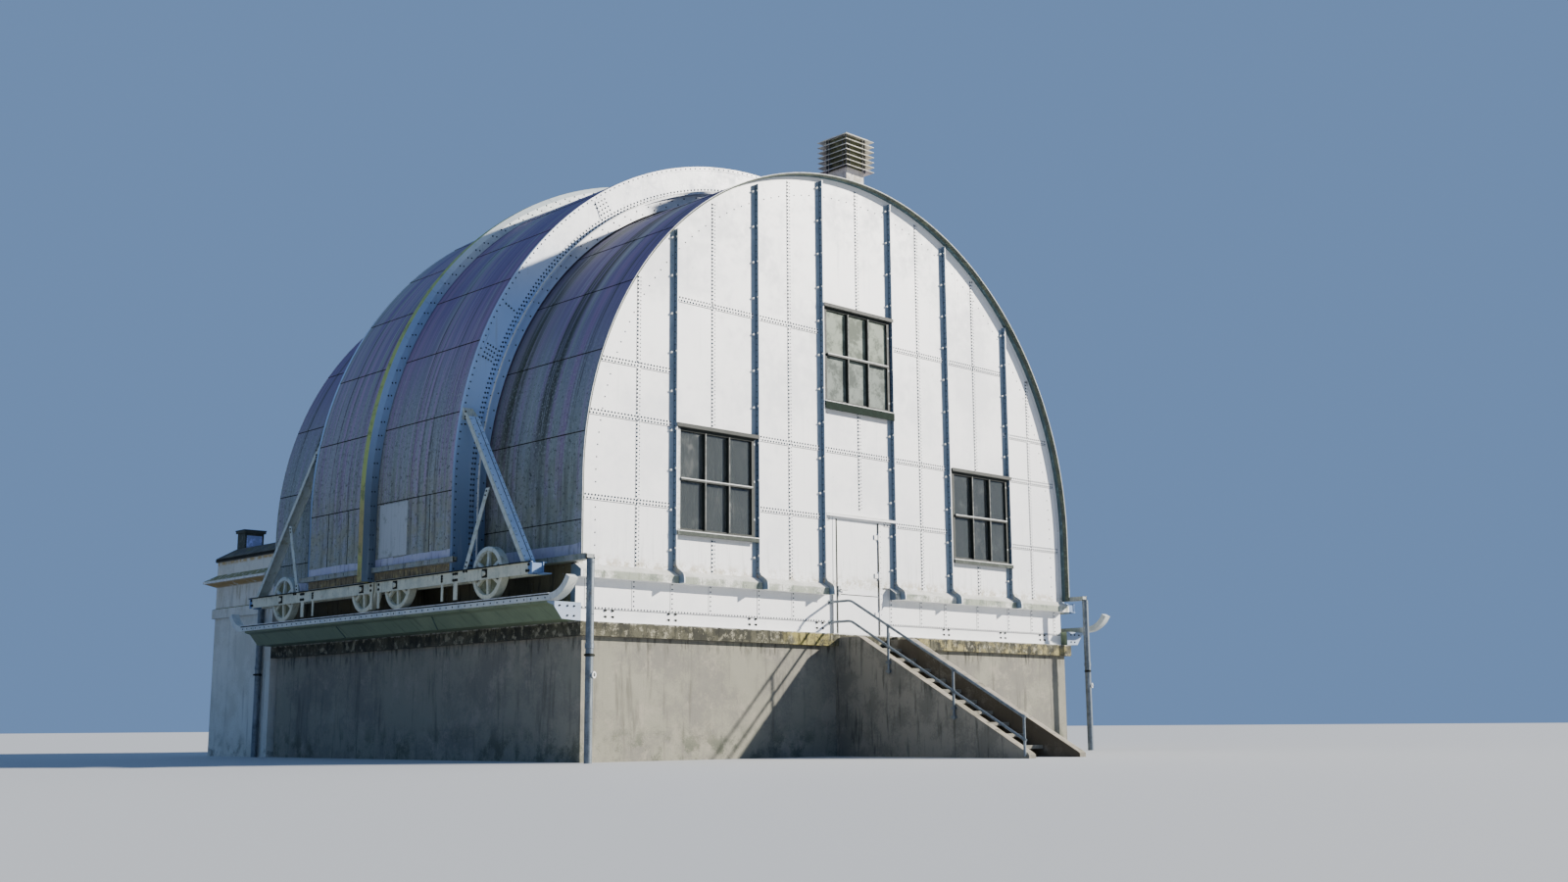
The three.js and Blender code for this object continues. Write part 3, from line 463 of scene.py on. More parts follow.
class Net:
    """Wires the nodes of one shader tree."""

    def __init__(self, tree):
        self.tree = tree

    def feed(self, socket, value):
        if isinstance(value, bpy.types.NodeSocket):
            self.tree.links.new(value, socket)
        else:
            socket.default_value = value

    def add(self, kind, settings=None, **inputs):
        node = self.tree.nodes.new(kind)
        for key, value in (settings or {}).items():
            setattr(node, key, value)
        for label, value in inputs.items():
            self.feed(node.inputs[label.replace("_", " ")], value)
        return node

    def math(self, operation, first, second=0.0, clamp=False):
        node = self.tree.nodes.new("ShaderNodeMath")
        node.operation = operation
        node.use_clamp = clamp
        self.feed(node.inputs[0], first)
        self.feed(node.inputs[1], second)
        return node.outputs[0]

    def mix(self, share, first, second):
        node = self.tree.nodes.new("ShaderNodeMix")
        node.data_type = "RGBA"
        self.feed(node.inputs["Factor"], share)
        self.feed(node.inputs[6], first)
        self.feed(node.inputs[7], second)
        return node.outputs[2]

    def fade(self, value, low, high):
        """0 at low to 1 at high, smoothly."""
        node = self.add("ShaderNodeMapRange", {"interpolation_type": "SMOOTHSTEP"},
                        Value=value, From_Min=low, From_Max=high)
        return node.outputs["Result"]

    def noise(self, place, scale, detail=4.0, roughness=0.6):
        node = self.add("ShaderNodeTexNoise", Vector=place, Scale=scale, Detail=detail, Roughness=roughness)
        return node.outputs["Factor"] if "Factor" in node.outputs else node.outputs["Fac"]

    def split(self, vector):
        node = self.add("ShaderNodeSeparateXYZ", Vector=vector)
        return node.outputs["X"], node.outputs["Y"], node.outputs["Z"]

    def join(self, x, y, z):
        return self.add("ShaderNodeCombineXYZ", X=x, Y=y, Z=z).outputs["Vector"]

    def use(self, group, **inputs):
        node = self.tree.nodes.new("ShaderNodeGroup")
        node.node_tree = group
        for label, value in inputs.items():
            self.feed(node.inputs[label], value)
        return node.outputs[0]


def new_group(name, inputs, output, kind):
    tree = bpy.data.node_groups.new(name, "ShaderNodeTree")
    tree.interface.new_socket("Position", in_out="INPUT", socket_type="NodeSocketVector")
    for label, value in inputs.items():
        tree.interface.new_socket(label, in_out="INPUT", socket_type="NodeSocketFloat").default_value = value
    tree.interface.new_socket(output, in_out="OUTPUT", socket_type=kind)
    net = Net(tree)
    given = tree.nodes.new("NodeGroupInput").outputs
    target = tree.nodes.new("NodeGroupOutput").inputs[output]
    return tree, net, given, target


def unrolled_group():
    """The barrel laid flat: depth, nothing, and the girth from the crown, negative to the right."""
    tree, net, given, target = new_group(
        "unrolled_barrel", {"Radius": 6.0, "Centre": 4.14}, "Flat", "NodeSocketVector")
    x, y, z = net.split(given["Position"])
    rise = net.math("SUBTRACT", z, given["Centre"])
    angle = net.math("ARCTAN2", net.math("MAXIMUM", rise, 0.0), x)
    arc = net.math("MULTIPLY", net.math("SUBTRACT", angle, math.pi / 2), given["Radius"])
    leg = net.math("MULTIPLY", net.math("SIGN", x), net.math("MINIMUM", rise, 0.0))
    net.feed(target, net.join(y, 0.0, net.math("ADD", arc, leg)))
    return tree


def runs_group():
    """Streaks that water leaves down a surface."""
    tree, net, given, target = new_group(
        "rain_runs", {"Width": 0.1, "Length": 2.0, "Low": 0.5, "High": 0.7}, "Mask", "NodeSocketFloat")
    x, y, z = net.split(given["Position"])
    flat = net.math("ADD", x, y)
    place = net.join(net.math("DIVIDE", flat, given["Width"]), 0.0, net.math("DIVIDE", z, given["Length"]))
    net.feed(target, net.fade(net.noise(place, 1.0, 5.0, 0.62), given["Low"], given["High"]))
    return tree


def patches_group():
    """Clouds of dirt or lichen, broken into smaller specks."""
    tree, net, given, target = new_group(
        "dirt_patches", {"Size": 0.3, "Low": 0.5, "High": 0.65, "Speck": 0.02}, "Mask", "NodeSocketFloat")
    broad = net.noise(given["Position"], net.math("DIVIDE", 1.0, given["Size"]), 6.0, 0.65)
    fine = net.noise(given["Position"], net.math("DIVIDE", 1.0, given["Speck"]), 3.0, 0.7)
    both = net.math("ADD", broad, net.math("MULTIPLY", net.math("SUBTRACT", fine, 0.5), 0.35))
    net.feed(target, net.fade(both, given["Low"], given["High"]))
    return tree


def grain_group():
    """Height of a brushed or rough surface."""
    tree, net, given, target = new_group(
        "surface_grain", {"Size": 0.01, "Dents": 0.6}, "Height", "NodeSocketFloat")
    fine = net.noise(given["Position"], net.math("DIVIDE", 1.0, given["Size"]), 5.0, 0.65)
    broad = net.noise(given["Position"], net.math("DIVIDE", 1.0, given["Dents"]), 2.0, 0.5)
    net.feed(target, net.math("ADD", fine, net.math("MULTIPLY", broad, 6.0)))
    return tree


UNROLLED = unrolled_group()
RUNS = runs_group()
PATCHES = patches_group()
GRAIN = grain_group()


def runs(tint, width, length, low, high, strength=1.0, within=None):
    inputs = {"Width": width, "Length": length, "Low": low, "High": high}
    return {"group": RUNS, "tint": tint, "inputs": inputs, "strength": strength, "within": within}


def patches(tint, size, low, high, strength=1.0, within=None, speck=0.02):
    inputs = {"Size": size, "Low": low, "High": high, "Speck": speck}
    return {"group": PATCHES, "tint": tint, "inputs": inputs, "strength": strength, "within": within}


def up_faces(low=0.2, high=0.7):
    """Share of a layer that lies on faces turned to the sky."""
    def share(net, place):
        normal = net.add("ShaderNodeNewGeometry").outputs["Normal"]
        return net.fade(net.split(normal)[2], low, high)
    return share


def side_faces(low=0.5, high=0.8):
    """Share of a layer that lies on faces turned along the gable."""
    def share(net, place):
        normal = net.add("ShaderNodeNewGeometry").outputs["Normal"]
        return net.fade(net.math("ABSOLUTE", net.split(normal)[0]), low, high)
    return share


def span_of(axis, low, high, blur):
    """Share of a layer between two places along an axis."""
    def share(net, place):
        value = net.split(place)[axis]
        rise = net.fade(value, low - blur, low + blur)
        fall = net.fade(value, high + blur, high - blur)
        return net.math("MULTIPLY", rise, fall)
    return share


def band_of(depths, blur, low, end):
    """Share of a layer between two depths behind one gable, above a height."""
    near, far = sorted(FRONT_Y + depth(end, y) for y in depths)
    def share(net, place):
        across = span_of(1, near, far, blur)(net, place)
        return net.math("MULTIPLY", across, span_of(2, low, 14.0, 1.2)(net, place))
    return share


def weathered(name, base, layers, roughness=0.6, metallic=0.0, barrel=None, grain=0.01, bump=0.15,
              dents=0.6, wear=0.18, gloss=0.5):
    """Finish built up from a base colour and layers of runs and patches."""
    material = bpy.data.materials.new(name)
    material.use_nodes = True
    material.diffuse_color = (*base, 1)
    net = Net(material.node_tree)
    shader = material.node_tree.nodes["Principled BSDF"]
    shader.inputs["Metallic"].default_value = metallic
    shader.inputs["Specular IOR Level"].default_value = gloss
    place = net.add("ShaderNodeTexCoord").outputs["Object"]
    flat = place
    if barrel:
        flat = net.use(UNROLLED, Position=place, Radius=barrel[0], Centre=barrel[1])
    colour = (*base, 1)
    total = 0.0
    for layer in layers:
        mask = net.use(layer["group"], Position=flat, **layer["inputs"])
        if layer["within"]:
            mask = net.math("MULTIPLY", mask, layer["within"](net, place))
        mask = net.math("MULTIPLY", mask, layer["strength"], clamp=True)
        colour = net.mix(mask, colour, (*layer["tint"], 1))
        total = net.math("MAXIMUM", total, mask)
    net.feed(shader.inputs["Base Color"], colour)
    rough = net.math("ADD", net.math("MULTIPLY", total, wear), roughness, clamp=True)
    net.feed(shader.inputs["Roughness"], rough)
    height = net.use(GRAIN, Position=flat, Size=grain, Dents=dents)
    relief = net.add("ShaderNodeBump", Strength=bump, Distance=0.01, Height=height)
    net.feed(shader.inputs["Normal"], relief.outputs["Normal"])
    return material


# Finishes

def gable_paint():
    white, ochre, grey, rust = (0.84, 0.84, 0.83), (0.36, 0.31, 0.2), (0.5, 0.53, 0.54), (0.3, 0.13, 0.05)
    return weathered("gable_paint", white, [
        patches((0.74, 0.75, 0.76), 1.6, 0.42, 0.66, 0.8, speck=0.15),
        runs(grey, 0.09, 2.4, 0.56, 0.8, 0.4),
        # Painted shade: faces turned across the hall, such as the fins' sides, take a dark blue tint.
        patches((0.09, 0.15, 0.22), 5.0, 0.0, 0.1, 0.97, side_faces()),
        runs((0.4, 0.42, 0.4), 0.05, 0.9, 0.5, 0.75, 0.65, span_of(2, 2.85, 3.35, 0.35)),
        patches(ochre, 0.16, 0.42, 0.6, 0.85, span_of(2, 2.84, 3.0, 0.1)),
        patches(rust, 0.22, 0.7, 0.76, 0.8, speck=0.03),
    ], roughness=0.42, grain=0.006, bump=0.12, dents=0.9)


# Grey-blue paint for the angle's leg beside each fin: painted shadow of the fin on white paint.
def fin_shadow_paint():
    return weathered("fin_shadow_paint", (0.3, 0.37, 0.43), [
        patches((0.2, 0.26, 0.31), 0.8, 0.42, 0.66, 0.7, speck=0.05),
        patches((0.4, 0.46, 0.5), 0.3, 0.56, 0.7, 0.5, speck=0.02),
    ], roughness=0.42, grain=0.006, bump=0.12)


def ledge_paint():
    return weathered("ledge_paint", (0.7, 0.69, 0.64), [
        patches((0.5, 0.5, 0.44), 0.5, 0.42, 0.6, 0.8, speck=0.05),
        patches((0.24, 0.27, 0.2), 0.5, 0.36, 0.56, 0.85, span_of(2, 2.66, 2.79, 0.012), speck=0.03),
        patches((0.12, 0.15, 0.12), 0.3, 0.52, 0.62, 0.85, span_of(2, 2.66, 2.79, 0.012), speck=0.02),
        runs((0.16, 0.17, 0.12), 0.035, 0.4, 0.56, 0.66, 0.8, span_of(2, 2.66, 2.82, 0.02)),
    ], roughness=0.6, grain=0.006, bump=0.15)


def frame_paint():
    return weathered("frame_paint", (0.68, 0.7, 0.72), [
        patches((0.54, 0.58, 0.63), 0.8, 0.45, 0.7, 0.6, speck=0.1),
        # Painted reflection of the blue sky on the plate below z 8, and painted shade darkening it towards
        # the foot.
        patches((0.28, 0.48, 0.8), 2.0, 0.0, 0.2, 0.75, span_of(2, 2.0, 8.0, 0.9)),
        patches((0.07, 0.12, 0.2), 2.0, 0.0, 0.2, 0.88, span_of(2, 2.0, 4.9, 1.5)),
        runs((0.34, 0.38, 0.4), 0.06, 1.2, 0.55, 0.75, 0.4),
        patches((0.2, 0.22, 0.2), 0.12, 0.64, 0.72, 0.6),
    ], roughness=0.36, grain=0.006, bump=0.12)


def rail_paint():
    return weathered("rail_paint", (0.58, 0.61, 0.57), [
        patches((0.44, 0.49, 0.5), 0.3, 0.42, 0.62, 0.8, speck=0.03),
        runs((0.2, 0.21, 0.17), 0.06, 0.3, 0.54, 0.7, 0.7),
    ], roughness=0.45)


def roof_finish(name, radius, centre, blotches, streaks):
    """Grey sheet, violet high up, with coloured streaks down it and blotches low down."""
    low_grey, dark_low = blotches
    return weathered(name, (0.225, 0.265, 0.25), [
        runs((0.3, 0.31, 0.35), 0.2, 12.0, 0.46, 0.6, 0.75),
        runs((0.17, 0.115, 0.26), 0.4, 14.0, 0.36, 0.52, 0.92, span_of(2, 6.2, 14.0, 1.9)),
        runs((0.26, 0.17, 0.3), 0.16, 12.0, 0.5, 0.62, 0.8, span_of(2, 3.9, 14.0, 0.7)),
        *streaks,
        runs((0.42, 0.41, 0.5), 0.035, 9.0, 0.57, 0.7, 0.8, span_of(2, 4.4, 14.0, 0.8)),
        runs((0.035, 0.035, 0.035), 0.07, 7.0, 0.57, 0.7, 0.85),
        runs((0.02, 0.022, 0.02), 0.03, 2.5, 0.6, 0.72, 0.7),
        patches((0.34, 0.38, 0.36), 0.05, 0.52, 0.64, 0.7, span_of(2, 2.9, 6.3, 0.7), speck=0.03),
        patches((0.06, 0.07, 0.06), 0.045, 0.56, 0.66, 0.8, span_of(2, 2.9, 6.3, 0.7), speck=0.03),
        patches(low_grey, 0.3, 0.4, 0.6, 0.85, span_of(2, 2.9, 4.3, 0.8), speck=0.018),
        runs(dark_low, 0.12, 1.8, 0.46, 0.66, 0.7, span_of(2, 2.9, 4.6, 0.9)),
        patches((0.035, 0.042, 0.035), 0.08, 0.55, 0.66, 0.85, span_of(2, 2.9, 5.2, 0.8), speck=0.012),
    ], roughness=0.5, metallic=0.15, barrel=(radius, centre), grain=0.02, bump=0.2, dents=0.7)


def broad_streaks(end):
    """Algae below the arch and half way to the gable, and a browner sheet behind them."""
    def at(near, far, blur, low=4.4):
        return band_of((near, far), blur, low, end)
    return [
        patches((0.27, 0.245, 0.26), 2.0, 0.0, 0.2, 0.7, at(1.75, 2.6, 0.3, 5.5)),
        runs((0.06, 0.07, 0.035), 0.13, 9.0, 0.36, 0.5, 0.95, at(1.95, 2.25, 0.09)),
        runs((0.04, 0.045, 0.03), 0.1, 9.0, 0.34, 0.5, 0.95, at(0.98, 1.3, 0.08)),
        runs((0.05, 0.055, 0.04), 0.05, 6.0, 0.46, 0.56, 0.9, at(0.32, 0.42, 0.04, 5.0)),
    ]


def shell_streaks():
    return [
        runs((0.36, 0.25, 0.4), 0.11, 9.0, 0.5, 0.6, 0.75, span_of(2, 3.9, 7.2, 0.7)),
        runs((0.05, 0.05, 0.06), 0.12, 9.0, 0.56, 0.64, 0.85, span_of(2, 3.4, 8.0, 0.8)),
    ]


def pale_panel():
    return weathered("pale_panel", (0.42, 0.45, 0.46), [
        runs((0.3, 0.33, 0.33), 0.05, 0.8, 0.5, 0.7, 0.7),
        patches((0.2, 0.23, 0.2), 0.2, 0.55, 0.7, 0.7),
    ], roughness=0.55, metallic=0.15)


def flashing_zinc():
    return weathered("flashing_zinc", (0.36, 0.36, 0.48), [
        patches((0.46, 0.47, 0.54), 0.35, 0.42, 0.62, 0.8, speck=0.06),
        runs((0.14, 0.15, 0.17), 0.07, 0.4, 0.52, 0.7, 0.8),
    ], roughness=0.4, metallic=0.25, grain=0.012)


def dull_zinc():
    return weathered("dull_zinc", (0.17, 0.2, 0.225), [
        patches((0.1, 0.125, 0.145), 0.15, 0.42, 0.6, 0.8, speck=0.02),
        runs((0.34, 0.37, 0.4), 0.03, 0.5, 0.55, 0.7, 0.5),
        patches((0.12, 0.12, 0.1), 0.09, 0.62, 0.7, 0.6),
    ], roughness=0.36, metallic=0.55, grain=0.008)


def carriage_paint():
    """Cream beams; the blue noses at both gables and the blue-grey braces above them are painted shade."""
    blue, noses = (0.13, 0.22, 0.38), (FRONT_Y + 0.445, FRONT_Y + HALL_LENGTH - 0.445)
    return weathered("carriage_paint", (0.6, 0.6, 0.46), [
        patches((0.44, 0.46, 0.36), 0.3, 0.44, 0.62, 0.8, speck=0.03),
        runs((0.2, 0.2, 0.13), 0.05, 0.25, 0.54, 0.7, 0.7),
        # Painted shade: blue-grey over the braces above the beam.
        patches((0.46, 0.52, 0.5), 0.5, 0.0, 0.1, 0.9, span_of(2, 2.9, 6.0, 0.01)),
        patches((0.33, 0.36, 0.28), 0.1, 0.5, 0.62, 0.8, span_of(2, 2.95, 6.0, 0.05), speck=0.015),
        # Painted shade: dark blue noses at both gables.
        patches(blue, 0.5, 0.0, 0.1, 1.0, span_of(1, noses[0] - 0.3, noses[0], 0.01)),
        patches(blue, 0.5, 0.0, 0.1, 1.0, span_of(1, noses[1], noses[1] + 0.3, 0.01)),
        patches((0.1, 0.1, 0.06), 0.12, 0.58, 0.66, 0.75, up_faces()),
        patches((0.25, 0.12, 0.05), 0.1, 0.66, 0.72, 0.7),
    ], roughness=0.5)


def brace_paint():
    # Sky blue base: painted reflection of the sky on white paint in shade; darker below z 2.93: painted
    # shade.
    return weathered("brace_paint", (0.5, 0.64, 0.82), [
        patches((0.12, 0.2, 0.34), 2.0, 0.0, 0.2, 0.95, span_of(2, 2.0, 2.93, 0.03)),
        patches((0.36, 0.5, 0.7), 0.5, 0.42, 0.64, 0.7, speck=0.05),
        patches((0.3, 0.33, 0.22), 0.12, 0.6, 0.68, 0.7),
    ], roughness=0.34)


def fascia_paint():
    return weathered("fascia_paint", (0.155, 0.2, 0.115), [
        patches((0.2, 0.25, 0.15), 0.7, 0.42, 0.64, 0.8, speck=0.05),
        runs((0.08, 0.1, 0.06), 0.09, 0.5, 0.52, 0.7, 0.7),
    ], roughness=0.5)


def ochre_board():
    return weathered("ochre_board", (0.17, 0.14, 0.08), [
        patches((0.34, 0.29, 0.12), 0.12, 0.5, 0.64, 0.7, speck=0.02),
        runs((0.04, 0.04, 0.03), 0.06, 0.3, 0.48, 0.64, 0.9),
        patches((0.42, 0.42, 0.35), 0.08, 0.64, 0.72, 0.6),
    ], roughness=0.85, grain=0.015, bump=0.35)


def side_wall_paint():
    return weathered("side_wall_paint", (0.1, 0.09, 0.05), [
        patches((0.1, 0.09, 0.05), 0.3, 0.48, 0.66, 0.8, speck=0.02),
        runs((0.02, 0.02, 0.018), 0.1, 0.6, 0.5, 0.7, 0.8),
    ], roughness=0.8)


def slab_concrete():
    return weathered("slab_concrete", (0.085, 0.08, 0.05), [
        patches((0.03, 0.03, 0.022), 0.35, 0.42, 0.58, 0.9, speck=0.02),
        patches((0.3, 0.28, 0.2), 0.14, 0.53, 0.63, 0.85, speck=0.015),
        patches((0.34, 0.29, 0.09), 0.25, 0.36, 0.54, 0.9, span_of(0, -1.8, -0.7, 0.25), speck=0.015),
        patches((0.33, 0.28, 0.12), 0.3, 0.46, 0.6, 0.8, span_of(0, 1.2, 6.2, 0.25), speck=0.015),
        runs((0.02, 0.02, 0.015), 0.08, 0.3, 0.5, 0.66, 0.85),
        patches((0.42, 0.41, 0.36), 0.1, 0.42, 0.6, 0.8, span_of(2, 2.012, 2.04, 0.006)),
    ], roughness=0.92, grain=0.018, bump=0.6)


def plinth_render():
    return weathered("plinth_render", (0.25, 0.24, 0.185), [
        patches((0.18, 0.17, 0.145), 0.9, 0.42, 0.62, 0.8, speck=0.04),
        patches((0.32, 0.29, 0.23), 0.5, 0.52, 0.68, 0.7, speck=0.05),
        runs((0.11, 0.105, 0.085), 0.16, 1.6, 0.52, 0.7, 0.7),
        runs((0.05, 0.05, 0.04), 0.1, 0.5, 0.5, 0.68, 0.8, span_of(2, 1.62, 1.9, 0.12)),
        patches((0.09, 0.1, 0.07), 0.35, 0.48, 0.62, 0.8, span_of(2, -0.2, 0.4, 0.25)),
    ], roughness=0.93, grain=0.014, bump=0.5)


def stair_concrete():
    return weathered("stair_concrete", (0.26, 0.24, 0.19), [
        patches((0.16, 0.15, 0.12), 0.5, 0.42, 0.62, 0.8, speck=0.03),
        runs((0.07, 0.07, 0.055), 0.09, 0.8, 0.52, 0.68, 0.8),
        patches((0.38, 0.35, 0.24), 0.1, 0.5, 0.62, 0.8, up_faces()),
        # Painted shade: dark brown on the right side wall's inner face.
        patches((0.07, 0.055, 0.035), 0.5, 0.2, 0.5, 0.9, span_of(0, 0.695, 0.704, 0.003)),
    ], roughness=0.93, grain=0.012, bump=0.5)


def stair_cap_concrete():
    return weathered("stair_cap_concrete", (0.36, 0.32, 0.25), [
        patches((0.22, 0.2, 0.14), 0.3, 0.44, 0.62, 0.85, speck=0.02),
        patches((0.07, 0.07, 0.05), 0.12, 0.56, 0.66, 0.8, speck=0.01),
    ], roughness=0.93, grain=0.012, bump=0.5)


def wing_plaster():
    return weathered("wing_plaster", (0.66, 0.65, 0.58), [
        patches((0.52, 0.5, 0.42), 0.9, 0.42, 0.64, 0.7, speck=0.04),
        runs((0.36, 0.3, 0.16), 0.1, 0.6, 0.5, 0.68, 0.75, span_of(2, 2.6, 3.3, 0.25)),
        runs((0.3, 0.29, 0.25), 0.14, 1.8, 0.54, 0.72, 0.5),
        patches((0.4, 0.25, 0.07), 0.2, 0.3, 0.46, 0.92, span_of(2, 3.3, 3.375, 0.02)),
        patches((0.2, 0.2, 0.07), 0.1, 0.3, 0.5, 0.95, up_faces(0.3, 0.6), speck=0.02),
        patches((0.5, 0.33, 0.09), 0.15, 0.38, 0.55, 0.85, span_of(2, 3.74, 3.8, 0.03)),
        patches((0.14, 0.14, 0.12), 0.3, 0.48, 0.64, 0.75, span_of(2, -0.2, 0.3, 0.25)),
    ], roughness=0.92, grain=0.01, bump=0.35)


def roof_felt():
    return weathered("roof_felt", (0.075, 0.075, 0.068), [
        patches((0.15, 0.15, 0.12), 0.4, 0.45, 0.62, 0.8, speck=0.02),
        patches((0.12, 0.14, 0.04), 0.18, 0.54, 0.66, 0.85, up_faces(0.0, 0.4)),
    ], roughness=0.95, grain=0.012, bump=0.5)


def window_paint():
    return weathered("window_paint", (0.014, 0.019, 0.016), [
        patches((0.04, 0.045, 0.038), 0.1, 0.5, 0.66, 0.6, speck=0.012),
        patches((0.2, 0.2, 0.18), 0.12, 0.4, 0.55, 0.8, up_faces(0.5, 0.8), speck=0.012),
    ], roughness=0.55, grain=0.006, gloss=0.25)


# Pale grey for lines down the fronts of the window bars: painted highlight.
def bar_highlight_paint():
    return weathered("bar_highlight_paint", (0.17, 0.18, 0.17), [
        patches((0.07, 0.08, 0.07), 0.12, 0.42, 0.58, 0.85, speck=0.01),
        patches((0.4, 0.41, 0.38), 0.2, 0.5, 0.64, 0.8, speck=0.02),
    ], roughness=0.6)


def white_trim():
    return weathered("white_trim", (0.68, 0.69, 0.66), [
        patches((0.4, 0.41, 0.38), 0.09, 0.48, 0.62, 0.7, speck=0.012),
    ], roughness=0.6)


def rim_paint():
    return weathered("rim_paint", (0.05, 0.062, 0.048), [
        patches((0.12, 0.14, 0.09), 0.12, 0.46, 0.62, 0.8, speck=0.012),
        patches((0.4, 0.42, 0.36), 0.2, 0.5, 0.66, 0.8, up_faces(0.1, 0.8), speck=0.015),
    ], roughness=0.8, grain=0.01, bump=0.4)


def foot_of_rib(near, far):
    """Share of a layer on the back half of the rib's foot."""
    def share(net, place):
        across = span_of(1, near, far, 0.008)(net, place)
        return net.math("MULTIPLY", across, span_of(2, 2.5, 4.3, 0.7)(net, place))
    return share


def rib_paint():
    near, far = (FRONT_Y + edge for edge in (4.868, 5.02))
    return weathered("rib_paint", (0.62, 0.68, 0.66), [
        patches((0.42, 0.48, 0.5), 0.6, 0.44, 0.66, 0.6, speck=0.05),
        # Painted reflection of the blue sky on the rib below z 8.4, and painted shade darkening it towards
        # the foot.
        patches((0.17, 0.29, 0.5), 2.0, 0.0, 0.2, 0.85, span_of(2, 2.0, 8.4, 0.8)),
        patches((0.05, 0.075, 0.095), 2.0, 0.0, 0.2, 0.88, span_of(2, 2.0, 5.0, 1.2)),
        runs((0.2, 0.24, 0.26), 0.07, 1.0, 0.55, 0.72, 0.5),
        patches((0.36, 0.45, 0.1), 0.6, 0.2, 0.4, 0.95, span_of(1, near, far, 0.008), speck=0.02),
        patches((0.36, 0.27, 0.1), 0.5, 0.3, 0.5, 0.9, foot_of_rib(near, far), speck=0.02),
        patches((0.1, 0.14, 0.05), 0.16, 0.52, 0.64, 0.7, span_of(1, near, far, 0.01)),
    ], roughness=0.45)


def chalky_white():
    return weathered("chalky_white", (0.68, 0.66, 0.58), [
        patches((0.42, 0.39, 0.3), 0.18, 0.46, 0.62, 0.75, speck=0.015),
        runs((0.22, 0.2, 0.15), 0.04, 0.3, 0.54, 0.7, 0.7),
        patches((0.1, 0.11, 0.08), 0.07, 0.6, 0.68, 0.7),
    ], roughness=0.75)


# Dark matt finish: dark paint and dirt, and painted shade in gaps, recesses and under the sills.
def dark_grime_and_shade(name, tint):
    return weathered(name, tint, [
        patches(tuple(2.2 * part for part in tint), 0.1, 0.5, 0.66, 0.6, speck=0.012),
    ], roughness=0.85, gloss=0.1)


def frosted_pane(name, tint):
    return weathered(name, tint, [
        patches(tuple(0.4 * part for part in tint), 0.3, 0.4, 0.62, 0.8, speck=0.05),
    ], roughness=0.6, bump=0.02, gloss=0.3)


def bright_steel():
    return weathered("bright_steel", (0.6, 0.62, 0.64), [
        patches((0.3, 0.3, 0.28), 0.03, 0.5, 0.62, 0.6, speck=0.006),
    ], roughness=0.32, metallic=0.6)


def curtain_cloth():
    return weathered("curtain_cloth", (0.34, 0.34, 0.3), [
        runs((0.12, 0.12, 0.1), 0.05, 3.0, 0.42, 0.62, 0.85),
        runs((0.5, 0.52, 0.48), 0.04, 3.0, 0.56, 0.7, 0.7),
        patches((0.08, 0.08, 0.065), 0.5, 0.3, 0.6, 0.8, span_of(2, 3.4, 4.2, 0.5)),
    ], roughness=0.95)


def window_glass():
    material = bpy.data.materials.new("window_glass")
    material.use_nodes = True
    net = Net(material.node_tree)
    shader = material.node_tree.nodes["Principled BSDF"]
    shader.inputs["Transmission Weight"].default_value = 0.85
    shader.inputs["IOR"].default_value = 1.5
    shader.inputs["Metallic"].default_value = 0.0
    place = net.add("ShaderNodeTexCoord").outputs["Object"]
    dust = net.use(PATCHES, Position=place, Size=0.3, Low=0.5, High=0.95, Speck=0.012)
    colour = net.mix(dust, (0.3, 0.33, 0.32, 1), (0.62, 0.64, 0.6, 1))
    net.feed(shader.inputs["Base Color"], colour)
    net.feed(shader.inputs["Roughness"], net.math("ADD", net.math("MULTIPLY", dust, 0.35), 0.04))
    return material


GABLE = gable_paint()
PALE_FRAME = frame_paint()
VAULT_ROOF = {
    end: roof_finish(f"vault_roof_{end}", VAULT_RADIUS, SPRING_Z,
                     ((0.22, 0.245, 0.2), (0.065, 0.075, 0.055)), broad_streaks(end))
    for end in ENDS
}
SHELL_ROOF = roof_finish("shell_roof", SHELL_RADIUS, SHELL_CENTRE,
                         ((0.27, 0.275, 0.2), (0.1, 0.1, 0.07)), shell_streaks())
PANEL = pale_panel()
FLASHING = flashing_zinc()
ZINC = dull_zinc()
CREAM = carriage_paint()
BRACE = brace_paint()
FIN_SHADOW = fin_shadow_paint()
FASCIA = fascia_paint()
BOARD = ochre_board()
SLAB = slab_concrete()
PLINTH = plinth_render()
STAIR = stair_concrete()
STAIR_CAP = stair_cap_concrete()
LEDGE = ledge_paint()
RAIL = rail_paint()
RECESS_SHADE = dark_grime_and_shade("recess_shade", (0.15, 0.16, 0.1))
# Near-black rivet and bolt heads: dirt, and painted shade standing for the small shadows they cast.
HEADS = dark_grime_and_shade("dark_heads", (0.035, 0.05, 0.065))
PLASTER = wing_plaster()
FELT = roof_felt()
WINDOW = window_paint()
TRIM = white_trim()
BAR_HIGHLIGHT = bar_highlight_paint()
RIM = rim_paint()
SIDE_WALL = side_wall_paint()
RIB = rib_paint()
CHALK = chalky_white()
BLACK = dark_grime_and_shade("black_seam", (0.022, 0.024, 0.02))
DIRTY_AND_SHADE = dark_grime_and_shade("dirty_heads_and_shade", (0.13, 0.14, 0.15))
TEAL_SHADE = dark_grime_and_shade("teal_soffit_shade", (0.07, 0.11, 0.12))
SILL_SHADOW = dark_grime_and_shade("sill_shadow_green", (0.012, 0.02, 0.015))
SILL_GREY = dark_grime_and_shade("sill_grey", (0.07, 0.078, 0.068))
FROST = frosted_pane("frosted_pane", (0.14, 0.17, 0.145))
BRIGHT_FROST = frosted_pane("bright_pane", (0.2, 0.235, 0.18))
VENT_PANE = dark_grime_and_shade("vent_pane", (0.3, 0.36, 0.62))
VENT_BODY = dark_grime_and_shade("vent_body", (0.07, 0.08, 0.07))
STEEL = bright_steel()
CURTAIN = curtain_cloth()
